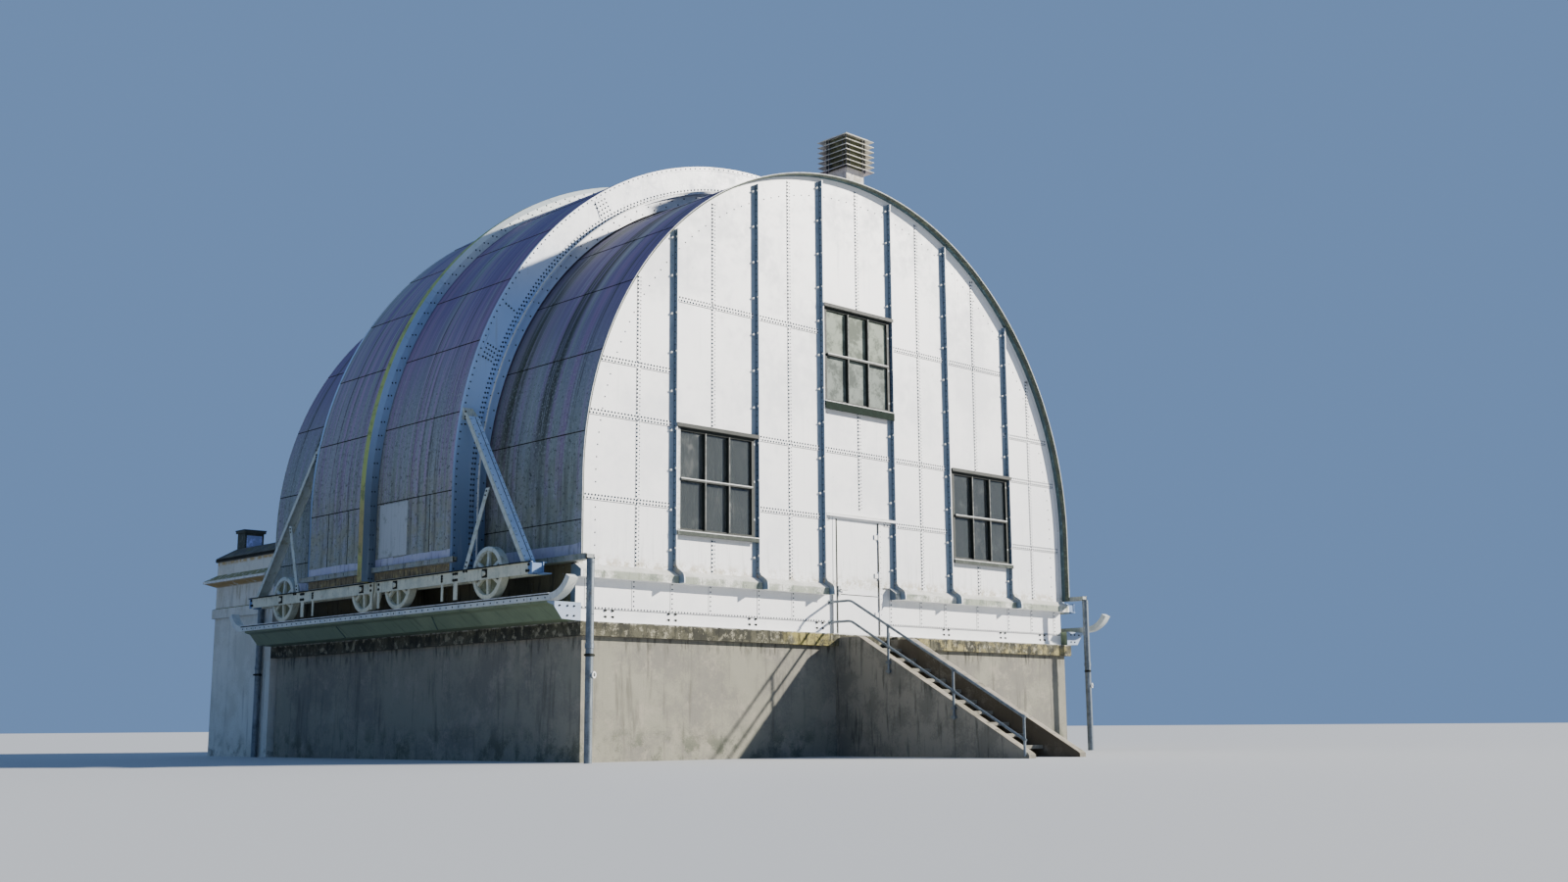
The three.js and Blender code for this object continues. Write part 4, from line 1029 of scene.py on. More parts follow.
GLASS = window_glass()


def paint_frame_nodes():
    """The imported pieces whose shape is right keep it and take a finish."""
    finishes = {
        "plinth_walls": PLINTH, "floor_slab": SLAB, "stair_flight": STAIR, "stair_wall": STAIR,
        "base_course": GABLE, "base_course_left": SIDE_WALL, "base_course_right": SIDE_WALL,
        "gable": GABLE, "girder": FASCIA, "rail": RAIL, "carriage": CREAM,
        "wing_walls": PLASTER, "wing_roof": FELT, "wing_vent_box": VENT_BODY,
        "door_leaf": GABLE, "door_handle": STEEL,
    }
    for name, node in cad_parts.items():
        found = [finish for start, finish in finishes.items() if name.startswith(start)]
        if name.endswith("_frame"):
            found = [WINDOW]
        if name.endswith("_glass"):
            found = [GLASS]
        if found:
            node.data.materials.clear()
            node.data.materials.append(found[-1])


# Roof sheets

def roof_gutter(shape, side, inner, reach, bottom, start, stop, free):
    """Box gutter along the depth, with a rolled lip, and an inner wall where it stands free."""
    wall, high = GUTTER_WALL, bottom + GUTTER_HEIGHT
    near, far = (inner + 0.0003 if free else inner - wall), inner + reach
    outline = [(near, bottom), (far, bottom), (far, high), (far - wall, high), (far - wall, bottom + wall)]
    if free:
        outline += [(near + wall, bottom + wall), (near + wall, high), (near, high)]
    else:
        outline += [(near, bottom + wall)]
    shape.prism([(side * x, z) for x, z in outline], 1, start, stop)
    shape.tube(length_line(side * (far - 0.004), high, start, stop), 0.011, 8)


def side_gutter(shape, side, inner, reach, bottom, fixed, free, end):
    """Gutter along a roof's foot, and its free length past the sheets, closed at the tip."""
    roof_gutter(shape, side, inner, reach, bottom, *fixed, False)
    roof_gutter(shape, side, inner, reach, bottom, *free, True)
    tip = free[0] if end == "front" else free[1] - GUTTER_END
    x = [side * (inner + 0.001), side * (inner + reach)]
    shape.box(x, [tip, tip + GUTTER_END], [bottom, bottom + GUTTER_HEIGHT])


def lap_seams(name, radius, centre, foot, girths, start, stop, body, roof):
    """Lapped sheet edges along the depth, each with a dark line below it: painted shade under the lap, and
    dirt.
    """
    laps, lines = Shape(), Shape()
    for side in SIDES.values():
        for girth in girths:
            x, z, out = roof_spot(radius, centre, foot, girth, side)
            laps.strap(length_line(x, z, start, stop), out, 0.05, 0.007, 0.004)
            x, z, out = roof_spot(radius, centre, foot, girth - 0.033, side)
            lines.strap(length_line(x, z, start, stop), out, 0.014, 0.0025, 0.004)
    make(f"{name}_laps", laps, roof, body)
    make(f"{name}_seam_lines", lines, BLACK, body)


def strip_at(shape, side, radius, start, stop, low, high, proud, joints=0.62):
    """Upright flashing along a side, in lengths whose upper edges are uneven."""
    pieces = max(1, round((stop - start) / joints))
    step = (stop - start) / pieces
    for index in range(pieces):
        near, far = start + index * step + 0.002, start + (index + 1) * step - 0.002
        ragged = [high + random.uniform(-0.012, 0.012) for _ in range(4)]
        edge = zip((far, near + step * 0.6, near + step * 0.3, near), ragged)
        lift = proud + (0.002 if index % 2 else 0.0)
        shape.prism([(near, low), (far, low), *edge], 0, side * (radius - 0.003), side * (radius + lift))


def fixed_vault(end):
    """Roof sheets behind one gable, with gutters, laps and flashing."""
    span, free = between(end, 0, VAULT_LENGTH), between(end, VAULT_GUTTER_TIP, 0)
    inner, thin = VAULT_RADIUS - VAULT_SHEET, VAULT_RADIUS - EDGE_SHEET
    corners = [(VAULT_RADIUS, 0), (VAULT_RADIUS, VAULT_LENGTH), (inner, VAULT_LENGTH),
               (inner, GABLE_FACE), (thin, GABLE_FACE), (thin, 0)]
    shape = Shape()
    shape.arch([(radius, SPRING_Z, depth(end, y)) for radius, y in corners], VAULT_FOOT)
    for side in SIDES.values():
        side_gutter(shape, side, VAULT_RADIUS, *VAULT_GUTTER, span, free, end)
    make(f"vault_{end}_sheets", shape, VAULT_ROOF[end], "root", [f"vault_{end}"])
    girths = [0.65 + 1.333 * course for course in range(7)]
    lap_seams(f"vault_{end}", VAULT_RADIUS, SPRING_Z, VAULT_FOOT, girths, span[0] + 0.03, span[1], "root",
              VAULT_ROOF[end])
    flashing = Shape()
    for side in SIDES.values():
        strip_at(flashing, side, VAULT_RADIUS, span[0] + 0.02, span[1], 2.965, 3.165, 0.006)
    make(f"vault_{end}_flashing", flashing, FLASHING, "root")


def vault_rim(end):
    """Covers, soffit and riveted angle at the fixed vault's open edge; the soffit's back strip is painted
    shade.
    """
    inner, thin = VAULT_RADIUS - VAULT_SHEET, VAULT_RADIUS - EDGE_SHEET
    for name, material, low, high, near, far in (
            ("edge_cover", GABLE, inner - 0.01, thin - 0.001, GABLE_FACE - 0.004, GABLE_FACE - 0.0005),
            ("soffit_angle", RIM, thin - 0.006, thin - 0.0005, 0.001, 0.074),
            # Dark teal back of the soffit: painted shade in the recess under the rim.
            ("soffit_back", TEAL_SHADE, thin - 0.003, thin - 0.0005, 0.074, GABLE_FACE - 0.004),
            ("rim", RIM, thin, VAULT_RADIUS - 0.0035, -0.006, -0.0005),
            ("rim_edge", TRIM, VAULT_RADIUS - 0.003, VAULT_RADIUS + 0.006, -0.006, -0.0005)):
        corners = [(high, near), (high, far), (low, far), (low, near)]
        band = Shape()
        band.arch([(radius, SPRING_Z, depth(end, y)) for radius, y in corners], VAULT_FOOT)
        make(f"vault_{end}_{name}", band, material)
    inward = [-out for out in arch_outs()]
    rivets = arch_path(thin - 0.006, SPRING_Z, VAULT_FOOT + 0.05, depth(end, 0.04))
    heads(f"vault_{end}_rim_rivets", [(rivets, inward)], DIRTY_AND_SHADE, 0.12, 0.009, 0.006)


def roof_half(end):
    """Sheets of one rolling half, with skirts, gutters and laps, and what is fixed on them."""
    body = f"{end}_half"
    span, free = between(end, ARCH_DEPTH, MEETING), between(end, SHELL_GUTTER_TIP, ARCH_DEPTH)
    run = between(end, ARCH_DEPTH, MEETING if end == "front" else MEETING - RIB_ROOM)
    inner = SHELL_RADIUS - SHELL_SHEET
    corners = [(SHELL_RADIUS, span[0]), (SHELL_RADIUS, span[1]), (inner, span[1]), (inner, span[0])]
    shape = Shape()
    shape.arch([(radius, SHELL_CENTRE, y) for radius, y in corners], SKIRT_TOP)
    for side in SIDES.values():
        skirt = [side * SHELL_RADIUS, side * (SHELL_RADIUS - SKIRT_SHEET)]
        shape.box(skirt, span, [SHELL_FOOT, SKIRT_TOP])
        side_gutter(shape, side, SHELL_RADIUS, *SHELL_GUTTER, run, free, end)
    make(f"shell_{end}_sheets", shape, SHELL_ROOF, body, [f"shell_{end}"])
    girths = [4.2 - SHELL_FOOT + 1.27 * course for course in range(8)]
    lap_seams(f"shell_{end}", SHELL_RADIUS, SHELL_CENTRE, SHELL_FOOT, girths, *span, body, SHELL_ROOF)
    skirt_strips(end, body, run)
    gutter_clips(end, body, run)


def skirt_strips(end, body, run):
    """Flashing above a rolling half's gutters, boards below them, and the skirt's upright joints."""
    flashing, boards, joints = Shape(), Shape(), Shape()
    for side in SIDES.values():
        strip_at(flashing, side, SHELL_RADIUS, *run, 3.11, 3.245, 0.005)
        strip_at(boards, side, SHELL_RADIUS, *run, 2.905, 3.028, 0.006, 0.9)
        for behind in (0.62, 1.3, 2.06):
            line = upright_line(side * SHELL_RADIUS, depth(end, ARCH_DEPTH + behind), 3.25, 4.18)
            joints.strap(line, Vector((side, 0, 0)), 0.014, 0.003, 0.003)
    make(f"shell_{end}_flashing", flashing, FLASHING, body)
    make(f"shell_{end}_boards", boards, BOARD, body)
    make(f"shell_{end}_upright_joints", joints, BLACK, body)


def gutter_clips(end, body, run):
    """Hooked straps over the gutters of one rolling half."""
    x, half, pitch = SHELL_RADIUS, 0.009, 0.5
    clips = Shape()
    for side in SIDES.values():
        y = run[0] + 0.2
        while y < run[1] - 0.05:
            clips.box([side * (x + 0.002), side * (x + 0.076)], [y - half, y + half], [3.103, 3.111])
            clips.box([side * (x + 0.07), side * (x + 0.076)], [y - half, y + half], [3.05, 3.104])
            y += pitch
    make(f"shell_{end}_gutter_clips", clips, DIRTY_AND_SHADE, body)


def replaced_panel():
    """One paler sheet on the front half's left side."""
    shape = Shape()
    shape.box([-SHELL_RADIUS + 0.002, -SHELL_RADIUS - 0.006], [3.84, 4.7], [3.262, 4.14])
    make("shell_front_pale_panel", shape, PANEL, "front_half", bevel=0.002)


def arch_plate(end):
    """Plate at a roof half's end with the nose of its angle, the closure inside it, and a painted highlight
    along the angle's edge.
    """
    body = f"{end}_half"
    back, front, nose = (depth(end, y) for y in (ARCH_BACK, ARCH_FRONT, ARCH_NOSE))
    shape = Shape()
    shape.arch([(SHELL_RADIUS, SHELL_CENTRE, back), (SHELL_RADIUS, SHELL_CENTRE, front),
                (ARCH_INNER + 0.03, SPRING_Z, front), (ARCH_INNER + 0.03, SPRING_Z, nose),
                (ARCH_INNER, SPRING_Z, nose), (ARCH_INNER, SPRING_Z, back)], SHELL_FOOT)
    make(f"arch_{end}_plate", shape, PALE_FRAME, body, [f"arch_{end}"])
    closure = Shape()
    closure.arch([(ARCH_INNER + 0.001, SPRING_Z, back), (ARCH_INNER + 0.001, SPRING_Z, front),
                  (CLOSURE_INNER, SPRING_Z, front), (CLOSURE_INNER, SPRING_Z, back)], CLOSURE_FOOT)
    make(f"arch_{end}_closure", closure, PALE_FRAME, body)
    highlight_strip = Shape()
    edge = arch_path(ARCH_INNER + 0.028, SPRING_Z, SHELL_FOOT, nose)
    # Bright line along the front of the angle: painted highlight.
    highlight_strip.strap(edge, arch_outs(), 0.014, 0.016, 0.004)
    make(f"arch_{end}_highlight_edge", highlight_strip, TRIM, body)


def arch_angles(end):
    """Flat legs of the angles on the arch plate, and the splice plates between them."""
    front, out = depth(end, ARCH_FRONT), facing(end)
    heel = Shape()
    for radius, centre, width in ((ARCH_INNER + 0.075, SPRING_Z, 0.09),
                                  (SHELL_RADIUS - 0.035, SHELL_CENTRE, 0.07)):
        heel.strap(arch_path(radius, centre, SHELL_FOOT, front), out, width, HEEL_PROUD, 0.002)
    edges = ((ARCH_INNER + 0.125, SPRING_Z), (SHELL_RADIUS - 0.075, SHELL_CENTRE))
    faces = (front, front + out.y * SPLICE_PROUD)
    for side in SIDES.values():
        for tilt, spread, _ in SPLICES:
            rings = []
            for step in (-1, 0, 1):
                angle = math.radians(tilt + step * spread / 2)
                rings.append(in_turn([
                    (side * radius * math.cos(angle), y, centre + radius * math.sin(angle))
                    for radius, centre in edges for y in faces]))
            heel.loft(rings)
    make(f"arch_{end}_angles", heel, PALE_FRAME, f"{end}_half")


def arch_rivets(end):
    """Rows of rivets and bolts that follow the arch plate."""
    body, out = f"{end}_half", facing(end)
    front, nose = depth(end, ARCH_FRONT), depth(end, ARCH_NOSE)
    face = front + out.y * HEEL_PROUD
    rows = [(arch_path(ARCH_INNER + inset, SPRING_Z, SHELL_FOOT + 0.03, face), out)
            for inset in (0.052, 0.098)]
    heads(f"arch_{end}_inner_rivets", rows, HEADS, 0.085, 0.02, 0.012, body)
    rows = [(arch_path(SHELL_RADIUS - 0.035, SHELL_CENTRE, SHELL_FOOT + 0.05, face), out)]
    heads(f"arch_{end}_outer_bolts", rows, HEADS, 0.12, 0.016, 0.01, body)
    rows = [(arch_path(ARCH_INNER + 0.03, SPRING_Z, SHELL_FOOT + 0.1, (nose * 2 + front) / 3), arch_outs())]
    heads(f"arch_{end}_angle_bolts", rows, BLACK, 0.23, 0.013, 0.012, body)
    rows = [(arch_path(radius, SPRING_Z, CLOSURE_FOOT + 0.1, front), out) for radius in (6.075, 6.165)]
    heads(f"arch_{end}_closure_bolts", rows, HEADS, 0.3, 0.016, 0.01, body)


def splice_rivets(end):
    """Rivets in columns of four on the arch's splice plates."""
    out = facing(end)
    face, low = depth(end, ARCH_FRONT) + out.y * SPLICE_PROUD, ARCH_INNER + 0.14
    spots = []
    for side in SIDES.values():
        for tilt, _, columns in SPLICES:
            for column in range(columns):
                angle = math.radians(tilt + (column - (columns - 1) / 2) * 0.7)
                reach = SHELL_RADIUS - 0.09 - low + 0.13 * math.sin(angle)
                for row in range(4):
                    radius = low + reach * (row + 0.5) / 4
                    x, z = side * radius * math.cos(angle), SPRING_Z + radius * math.sin(angle)
                    spots.append(Vector((x, face, z)))
    heads(f"arch_{end}_splice_rivets", [(spots, out)], HEADS, 1.0, 0.018, 0.011, f"{end}_half", single=True)


def slit_rib():
    """Hollow cover over the slit, with its rivets and straps."""
    near, far = RIB_SPAN
    top, low, sheet = RIB_RADIUS, SHELL_RADIUS + 0.0005, 0.04
    corners = [(low, near), (top - 0.085, near), (top, near + 0.06), (top, far), (low, far),
               (low, far - sheet), (top - sheet, far - sheet), (top - sheet, near + 0.08),
               (top - 0.1, near + sheet), (low, near + sheet)]
    shape = Shape()
    shape.arch([(radius, SHELL_CENTRE, y) for radius, y in corners], SHELL_FOOT)
    make("slit_rib_cover", shape, RIB, "back_half", ["slit_rib"])
    rows = [(arch_path(radius, SHELL_CENTRE, SHELL_FOOT + 0.05, near), FRONT) for radius in (6.675, 6.73)]
    heads("slit_rib_rivets", rows, HEADS, 0.24, 0.017, 0.01, "back_half")
    straps = Shape()
    straps.strap(arch_path(6.645, SHELL_CENTRE, SHELL_FOOT, near), FRONT, 0.045, 0.004, 0.001)
    for side in SIDES.values():
        for girth in (2.6, 5.4, 8.2):
            x, z, out = roof_spot(RIB_RADIUS, SHELL_CENTRE, SHELL_FOOT, girth, side)
            straps.strap(length_line(x, z, near + 0.1, far), out, 0.05, 0.004, 0.002)
    make("slit_rib_straps", straps, RIB, "back_half")


# Gables

def gable_reach(x, margin):
    """Height of the sheet under the rim at a place across the gable."""
    radius = VAULT_RADIUS - VAULT_SHEET - margin
    return SPRING_Z + math.sqrt(max(0.0, radius * radius - x * x))


def openings_at(end):
    found = [window[:4] for window in WINDOWS.values() if window[4] == end]
    if end == "front":
        found.append((DOOR[0] - 0.1, DOOR[1] + 0.1, LEDGE_TOP - 1, DOOR[2] + 0.12))
    return found


def clear_runs(low, high, blocks):
    """What is left of a stretch once the blocks are taken out."""
    parts = [(low, high)]
    for start, stop in blocks:
        cut = []
        for a, b in parts:
            if stop <= a or start >= b:
                cut.append((a, b))
                continue
            if start > a:
                cut.append((a, start))
            if stop < b:
                cut.append((stop, b))
        parts = cut
    return [(a, b) for a, b in parts if b - a > 0.08]


def gable_lines(end):
    """Upright and level seams of the gable's sheets, as pairs of ends."""
    holes = openings_at(end)
    upright, level = [], []
    for x in SEAM_XS:
        blocks = [(sill - SEAM_ROOM, head + SEAM_ROOM) for left, right, sill, head in holes
                  if left - 0.05 < x < right + 0.05]
        for low, high in clear_runs(LEDGE_TOP + 0.01, gable_reach(x, 0.02), blocks):
            upright.append((x, low, high))
    for z, (left, right) in LEVEL_SEAMS.items():
        blocks = [(a - SEAM_ROOM, b + SEAM_ROOM) for a, b, sill, head in holes
                  if sill - 0.08 < z < head + 0.08]
        blocks += [(x - FIN_HALF - 0.05, x + FIN_HALF + 0.05) for x in FIN_XS]
        if z == LOW_SEAM:
            blocks.append(MIDDLE_BAYS)
        if z == SHOULDER_SEAM:
            level.append((4.25, 5.6, z))
        reach = math.sqrt(max(0.01, SEAM_REACH ** 2 - max(0.0, z - SPRING_Z) ** 2))
        for a, b in clear_runs(max(left, -reach), min(right, reach), blocks):
            level.append((a, b, z))
    return upright, level


def gable_seams(end):
    """Straps along the seams, with rivets on them and a dark line beside them: painted shadow of the strap's
    edge.
    """
    out = facing(end)
    face = depth(end, GABLE_FACE)
    upright, level = gable_lines(end)
    straps, lines = Shape(), Shape()
    rivets, second = [], []
    for x, low, high in upright:
        straps.strap(upright_line(x + 0.026, face, low, high), out, 0.085, STRAP_PROUD, 0.002)
        lines.strap(upright_line(x - 0.018, face, low, high), out, 0.007, 0.002, 0.002)
        row = upright_line(x, face, low + 0.03, high - 0.03)
        rivets.append((lifted(row, out, STRAP_PROUD), out))
        row = upright_line(x + 0.05, face, low + 0.055, high - 0.03)
        second.append((lifted(row, out, STRAP_PROUD), out))
    for a, b, z in level:
        straps.strap(cross_line(face, z + 0.028, a, b), out, 0.095, 0.0052, 0.002)
        lines.strap(cross_line(face, z - 0.024, a, b), out, 0.012, 0.002, 0.002)
        for shift, rise in ((0.0, 0.004), (0.027, 0.055)):
            row = cross_line(face, z + rise, a + shift + 0.02, b - 0.02)
            rivets.append((lifted(row, out, STRAP_PROUD), out))
    make(f"gable_{end}_seam_straps", straps, GABLE)
    heads(f"gable_{end}_seam_rivets", rivets, HEADS, 0.062, 0.0185, 0.012)
    heads(f"gable_{end}_second_rivets", second, HEADS, 0.062, 0.011, 0.009)
    make(f"gable_{end}_seam_lines", lines, DIRTY_AND_SHADE)
    rim = arch_path(VAULT_RADIUS - 0.36, SPRING_Z, LEDGE_TOP + 0.1, face)
    heads(f"gable_{end}_rim_bolts", [(rim, out)], HEADS, 0.19, 0.013, 0.01)


def fins(end):
    """Angles, bolts and curled feet of the upright fins; the angle's leg left of each fin is grey-blue,
    painted shadow of the fin.
    """
    out, left = facing(end), Vector((-1, 0, 0))
    face, edge = depth(end, GABLE_FACE), depth(end, FIN_FRONT + 0.012)
    foot = [(FIN_FRONT, 2.97), (0.041, 2.913), (-0.03, 2.875), (-0.085, 2.838), (-0.112, 2.8), (-0.122, 2.74),
            (-0.122, 2.675), (0.004, 2.675), (0.008, 2.752), (GABLE_FACE, 2.886), (GABLE_FACE, 2.97)]
    angles, feet = Shape(), Shape()
    side_rivets, edge_bolts, sheet_bolts = [], [], []
    for x in FIN_XS:
        top = gable_reach(x, 0.03)
        web = x - FIN_HALF
        angles.box([web - 0.085, web + 0.001], sorted([face, face + out.y * 0.005]), [LEDGE_TOP, top])
        side_rivets.append((upright_line(web, depth(end, 0.128), LEDGE_TOP + 0.06, top - 0.05), left))
        edge_bolts.append((upright_line(web, edge, LEDGE_TOP + 0.35, top - 0.1), left))
        sheet_bolts.append((upright_line(web - 0.066, face, LEDGE_TOP + 0.32, top - 0.12), out))
        feet.prism([(depth(end, y), z) for y, z in foot], 0, web - 0.002, x + FIN_HALF + 0.002)
    make(f"gable_{end}_fin_angles", angles, FIN_SHADOW)
    make(f"gable_{end}_fin_feet", feet, GABLE, bevel=0.003)
    heads(f"gable_{end}_fin_rivets", side_rivets, HEADS, 0.1, 0.013, 0.009)
    heads(f"gable_{end}_fin_dots", edge_bolts, TRIM, 0.57, 0.016, 0.014, six_sided=True)
    heads(f"gable_{end}_fin_bolts", sheet_bolts, TRIM, 0.57, 0.018, 0.042, six_sided=True)


# Windows and door

def window_bars(name, left, right, sill, head, end):
    """Six panes: two upright bars and a rail, with pale lines down the bars' fronts and along the rail's top:
    painted highlights.
    """
    out = facing(end)
    low, high = sill + SIDE_BAR, head - SIDE_BAR
    a, b, middle = left + SIDE_BAR, right - SIDE_BAR, (low + high) / 2
    glass, front = depth(end, GABLE_FACE), depth(end, BAR_FRONT)
    bars, caps, rail = Shape(), Shape(), Shape()
    for share in (1 / 3, 2 / 3):
        x = a + (b - a) * share
        bars.box([x - 0.016, x + 0.016], [front, glass], [low, high])
        caps.box([x - 0.004, x + 0.009], [front, front + out.y * 0.004], [low, high])
    bars.box([a, b], [front + out.y * 0.003, glass], [middle - 0.02, middle + 0.02])
    rail.box([a, b], [front + out.y * 0.003, front + out.y * 0.008], [middle + 0.006, middle + 0.02])
    make(f"{name}_rail_edge", rail, TRIM)
    make(f"{name}_bars", bars, WINDOW)
    make(f"{name}_highlight_edges", caps, BAR_HIGHLIGHT)


def window_hood_and_sill(name, left, right, sill, head, end):
    """Drip of the hood, and the sill's board with its pale top. On a high window the board is thick and dark
    green: its lower part is painted shadow of the sill.
    """
    hood = Shape()
    hood.box([left - 0.043, right + 0.05], between(end, GABLE_FACE - 0.105, 0.066),
             [head - 0.022, head + 0.038])
    make(f"{name}_hood_lip", hood, WINDOW)
    thick, paint = (0.12, SILL_SHADOW) if name in HIGH_WINDOWS else (0.05, SILL_GREY)
    reach = [(GABLE_FACE - 0.104, sill + 0.016), (GABLE_FACE - 0.104, sill - thick),
             (GABLE_FACE - 0.087, sill - thick), (GABLE_FACE - 0.087, sill + 0.016)]
    board, top = Shape(), Shape()
    board.prism([(depth(end, y), z) for y, z in reach], 0, left - 0.03, right + 0.04)
    make(f"{name}_sill", board, paint, bevel=0.003)
    top.box([left - 0.034, right + 0.044], between(end, GABLE_FACE - 0.108, 0.09),
            [sill + 0.015, sill + 0.027])
    make(f"{name}_sill_top", top, TRIM)


def window_frosting(name, left, right, sill, head, end):
    """Frosted film in front of a high window's glass, brighter above the rail."""
    low, high = sill + SIDE_BAR + 0.002, head - SIDE_BAR - 0.002
    middle = (sill + SIDE_BAR + head - SIDE_BAR) / 2
    faces = between(end, GABLE_FACE - 0.003, GABLE_FACE - 0.0004)
    for row, bottom, upper, film in (("low", low, middle, FROST), ("high", middle, high, BRIGHT_FROST)):
        panes = Shape()
        panes.box([left + SIDE_BAR + 0.002, right - SIDE_BAR - 0.002], faces, [bottom, upper])
        make(f"{name}_{row}_frosting", panes, film)


def white_stile():
    """White board with rivets beside the low left window's panes."""
    left, _, sill, head, _ = WINDOWS["window_left"]
    low, high, front = sill + SIDE_BAR, head - SIDE_BAR, BAR_FRONT + 0.02
    stile = Shape()
    stile.box([left + 0.002, left + SIDE_BAR - 0.003], [front, 0.1205], [low - 0.02, high + 0.03])
    make("window_left_white_stile", stile, TRIM)
    rivets = upright_line(left + 0.012, front, low, high)
    heads("window_left_stile_rivets", [(rivets, FRONT)], DIRTY_AND_SHADE, 0.09, 0.009, 0.006)


def curtains():
    """Drawn curtains a little way behind the glass of the low left window."""
    left, _, sill, head, _ = WINDOWS["window_left"]
    shape = Shape()
    for start, stop in ((0.1, 0.44), (0.53, 0.6), (0.66, 0.96), (1.08, 1.4)):
        steps = max(6, round((stop - start) * 70))
        rings = []
        for step in range(steps + 1):
            x = left + start + (stop - start) * step / steps
            y = 0.36 + 0.014 * math.sin(step * 1.15) + 0.006 * math.sin(step * 2.9)
            rings.append([(x, y, sill), (x, y + 0.003, sill), (x, y + 0.003, head), (x, y, head)])
        shape.loft(rings)
    make("window_left_curtains", shape, CURTAIN)


def door_leaf_details():
    """Kick plate with its line, and the cover of the door's grip."""
    left, right, _ = DOOR
    plate, line, grip = Shape(), Shape(), Shape()
    plate.box([left + 0.03, right - 0.03], [LEAF_FACE - 0.004, LEAF_FACE + 0.001], [2.05, 2.71])
    make("door_kick_plate", plate, GABLE, "door", bevel=0.001)
    line.box([left + 0.03, right - 0.03], [LEAF_FACE - 0.006, LEAF_FACE], [2.708, 2.722])
    make("door_kick_line", line, BLACK, "door")
    grip.tube(cross_line(LEAF_FACE - 0.055, 2.79, left + 0.05, left + 0.2), 0.013, 10)
    grip.box([left + 0.035, left + 0.085], [LEAF_FACE - 0.013, LEAF_FACE - 0.0095], [2.7, 2.86])
    make("door_grip_cover", grip, TRIM, "door")


def door_surround():
    """Jamb straps with their rivets, black strips of painted shade in the gaps beside the leaf, and the
    hood's edge.
    """
    left, right, head = DOOR
    jambs, gap, hood = Shape(), Shape(), Shape()
    for x in (left - 0.055, right + 0.055):
        jambs.strap(upright_line(x, GABLE_FACE, SLAB_TOP + 0.01, head + 0.02), FRONT, 0.075, 0.006, 0.002)
    make("door_jamb_straps", jambs, GABLE)
    rivets = upright_line(right + 0.06, 0.154, SLAB_TOP + 0.1, head - 0.05)
    heads("door_jamb_rivets", [(rivets, FRONT)], DIRTY_AND_SHADE, 0.09, 0.009, 0.007)
    for near, far in ((left - 0.022, left + 0.01), (right - 0.006, right + 0.02)):
        gap.box([near, far], [0.152, 0.1545], [SLAB_TOP + 0.02, head])
    make("door_gap_lines", gap, BLACK)
    hood.box([GABLE_MIDDLE - 0.884, GABLE_MIDDLE + 0.884], [0.066, 0.16], [head + 0.06, head + 0.072])
    make("door_hood_edge", hood, TRIM)


# Base course, plinth and stair

def base_course_details(end):
    """Straps, dark lines at the seams (painted shadow of the lapped edges), rivets and bolts of the riveted
    course, and the cover of its ledge.
    """
    out = facing(end)
    face = depth(end, BASE_FACE)
    profile = [(0.0065, 2.677), (0.0065, 2.7925), (0.158, 2.8835), (0.158, 2.8795), (0.0105, 2.788),
               (0.0105, 2.677)]
    doorway = [(-0.7, 0.9)] if end == "front" else []
    rows, straps, lip, lines = [], Shape(), Shape(), Shape()
    for a, b in clear_runs(-5.93, 5.93, doorway):
        rows.append((cross_line(face, 2.249, a + 0.04, b - 0.04), out))
        lines.strap(cross_line(face, 2.228, a, b), out, 0.012, 0.003, 0.002)
        straps.strap(cross_line(face, 2.07, a, b), out, 0.08, 0.012, 0.002)
        straps.box([a, b], sorted([face, face + out.y * 0.07]), [SLAB_TOP, SLAB_TOP + 0.012])
        lip.prism([(depth(end, y), z) for y, z in profile], 0, a - 0.03, b + 0.03)
    for x in BASE_SEAM_XS:
        if end == "front" and -0.75 < x < 0.9:
            continue
        straps.strap(upright_line(x, face, 2.25, 2.69), out, 0.07, STRAP_PROUD, 0.002)
        lines.strap(upright_line(x - 0.036, face, 2.25, 2.69), out, 0.006, 0.003, 0.002)
        rows.append((lifted(upright_line(x, face, 2.3, 2.67), out, STRAP_PROUD), out))
    spots = [Vector((x + aside, face, z)) + out * STRAP_PROUD
             for x in BASE_BOLT_XS for aside in (-0.07, 0.07) for z in (2.12, 2.215)]
    make(f"base_{end}_straps", straps, GABLE)
    make(f"base_{end}_seam_lines", lines, DIRTY_AND_SHADE)
    make(f"base_{end}_ledge_cover", lip, LEDGE)
    heads(f"base_{end}_rivets", rows, HEADS, 0.062, 0.014, 0.011)
    heads(f"base_{end}_bolts", [(spots, out)], BLACK, 1.0, 0.021, 0.014, single=True, six_sided=True)


def base_side_details(name, side):
    """Straps and rivets on the hall's side below the vault."""
    shape, rows = Shape(), []
    x, out, proud = side * SIDE_X, Vector((side, 0, 0)), 0.006
    for index in range(12):
        y = 0.5 + index * 0.79
        shape.strap(upright_line(x, y, 2.31, 2.88), out, 0.08, proud, 0.002)
        rows.append((lifted(upright_line(x, y, 2.35, 2.85), out, proud), out))
    rows.append((length_line(x, 2.36, 0.4, 9.2), out))
    make(f"side_{name}_straps", shape, SIDE_WALL)
    heads(f"side_{name}_rivets", rows, DIRTY_AND_SHADE, 0.1, 0.012, 0.008)


def slab_edges():
    """Joints in the edges of the concrete slab."""
    levels, half = [SLAB_BOTTOM + 0.005, SLAB_TOP - 0.004], 0.006
    joints = Shape()
    for side in SIDES.values():
        x = side * (VAULT_RADIUS + 0.0005)
        for y in (2.4, 4.8, 7.2):
            joints.box([x, x - side * 0.004], [y - half, y + half], levels)
    for end in ENDS:
        for x in (-4.2, -2.2, 2.2, 4.2):
            joints.box([x - half, x + half], between(end, -0.0005, 0.004), levels)
    make("slab_joints", joints, BLACK)


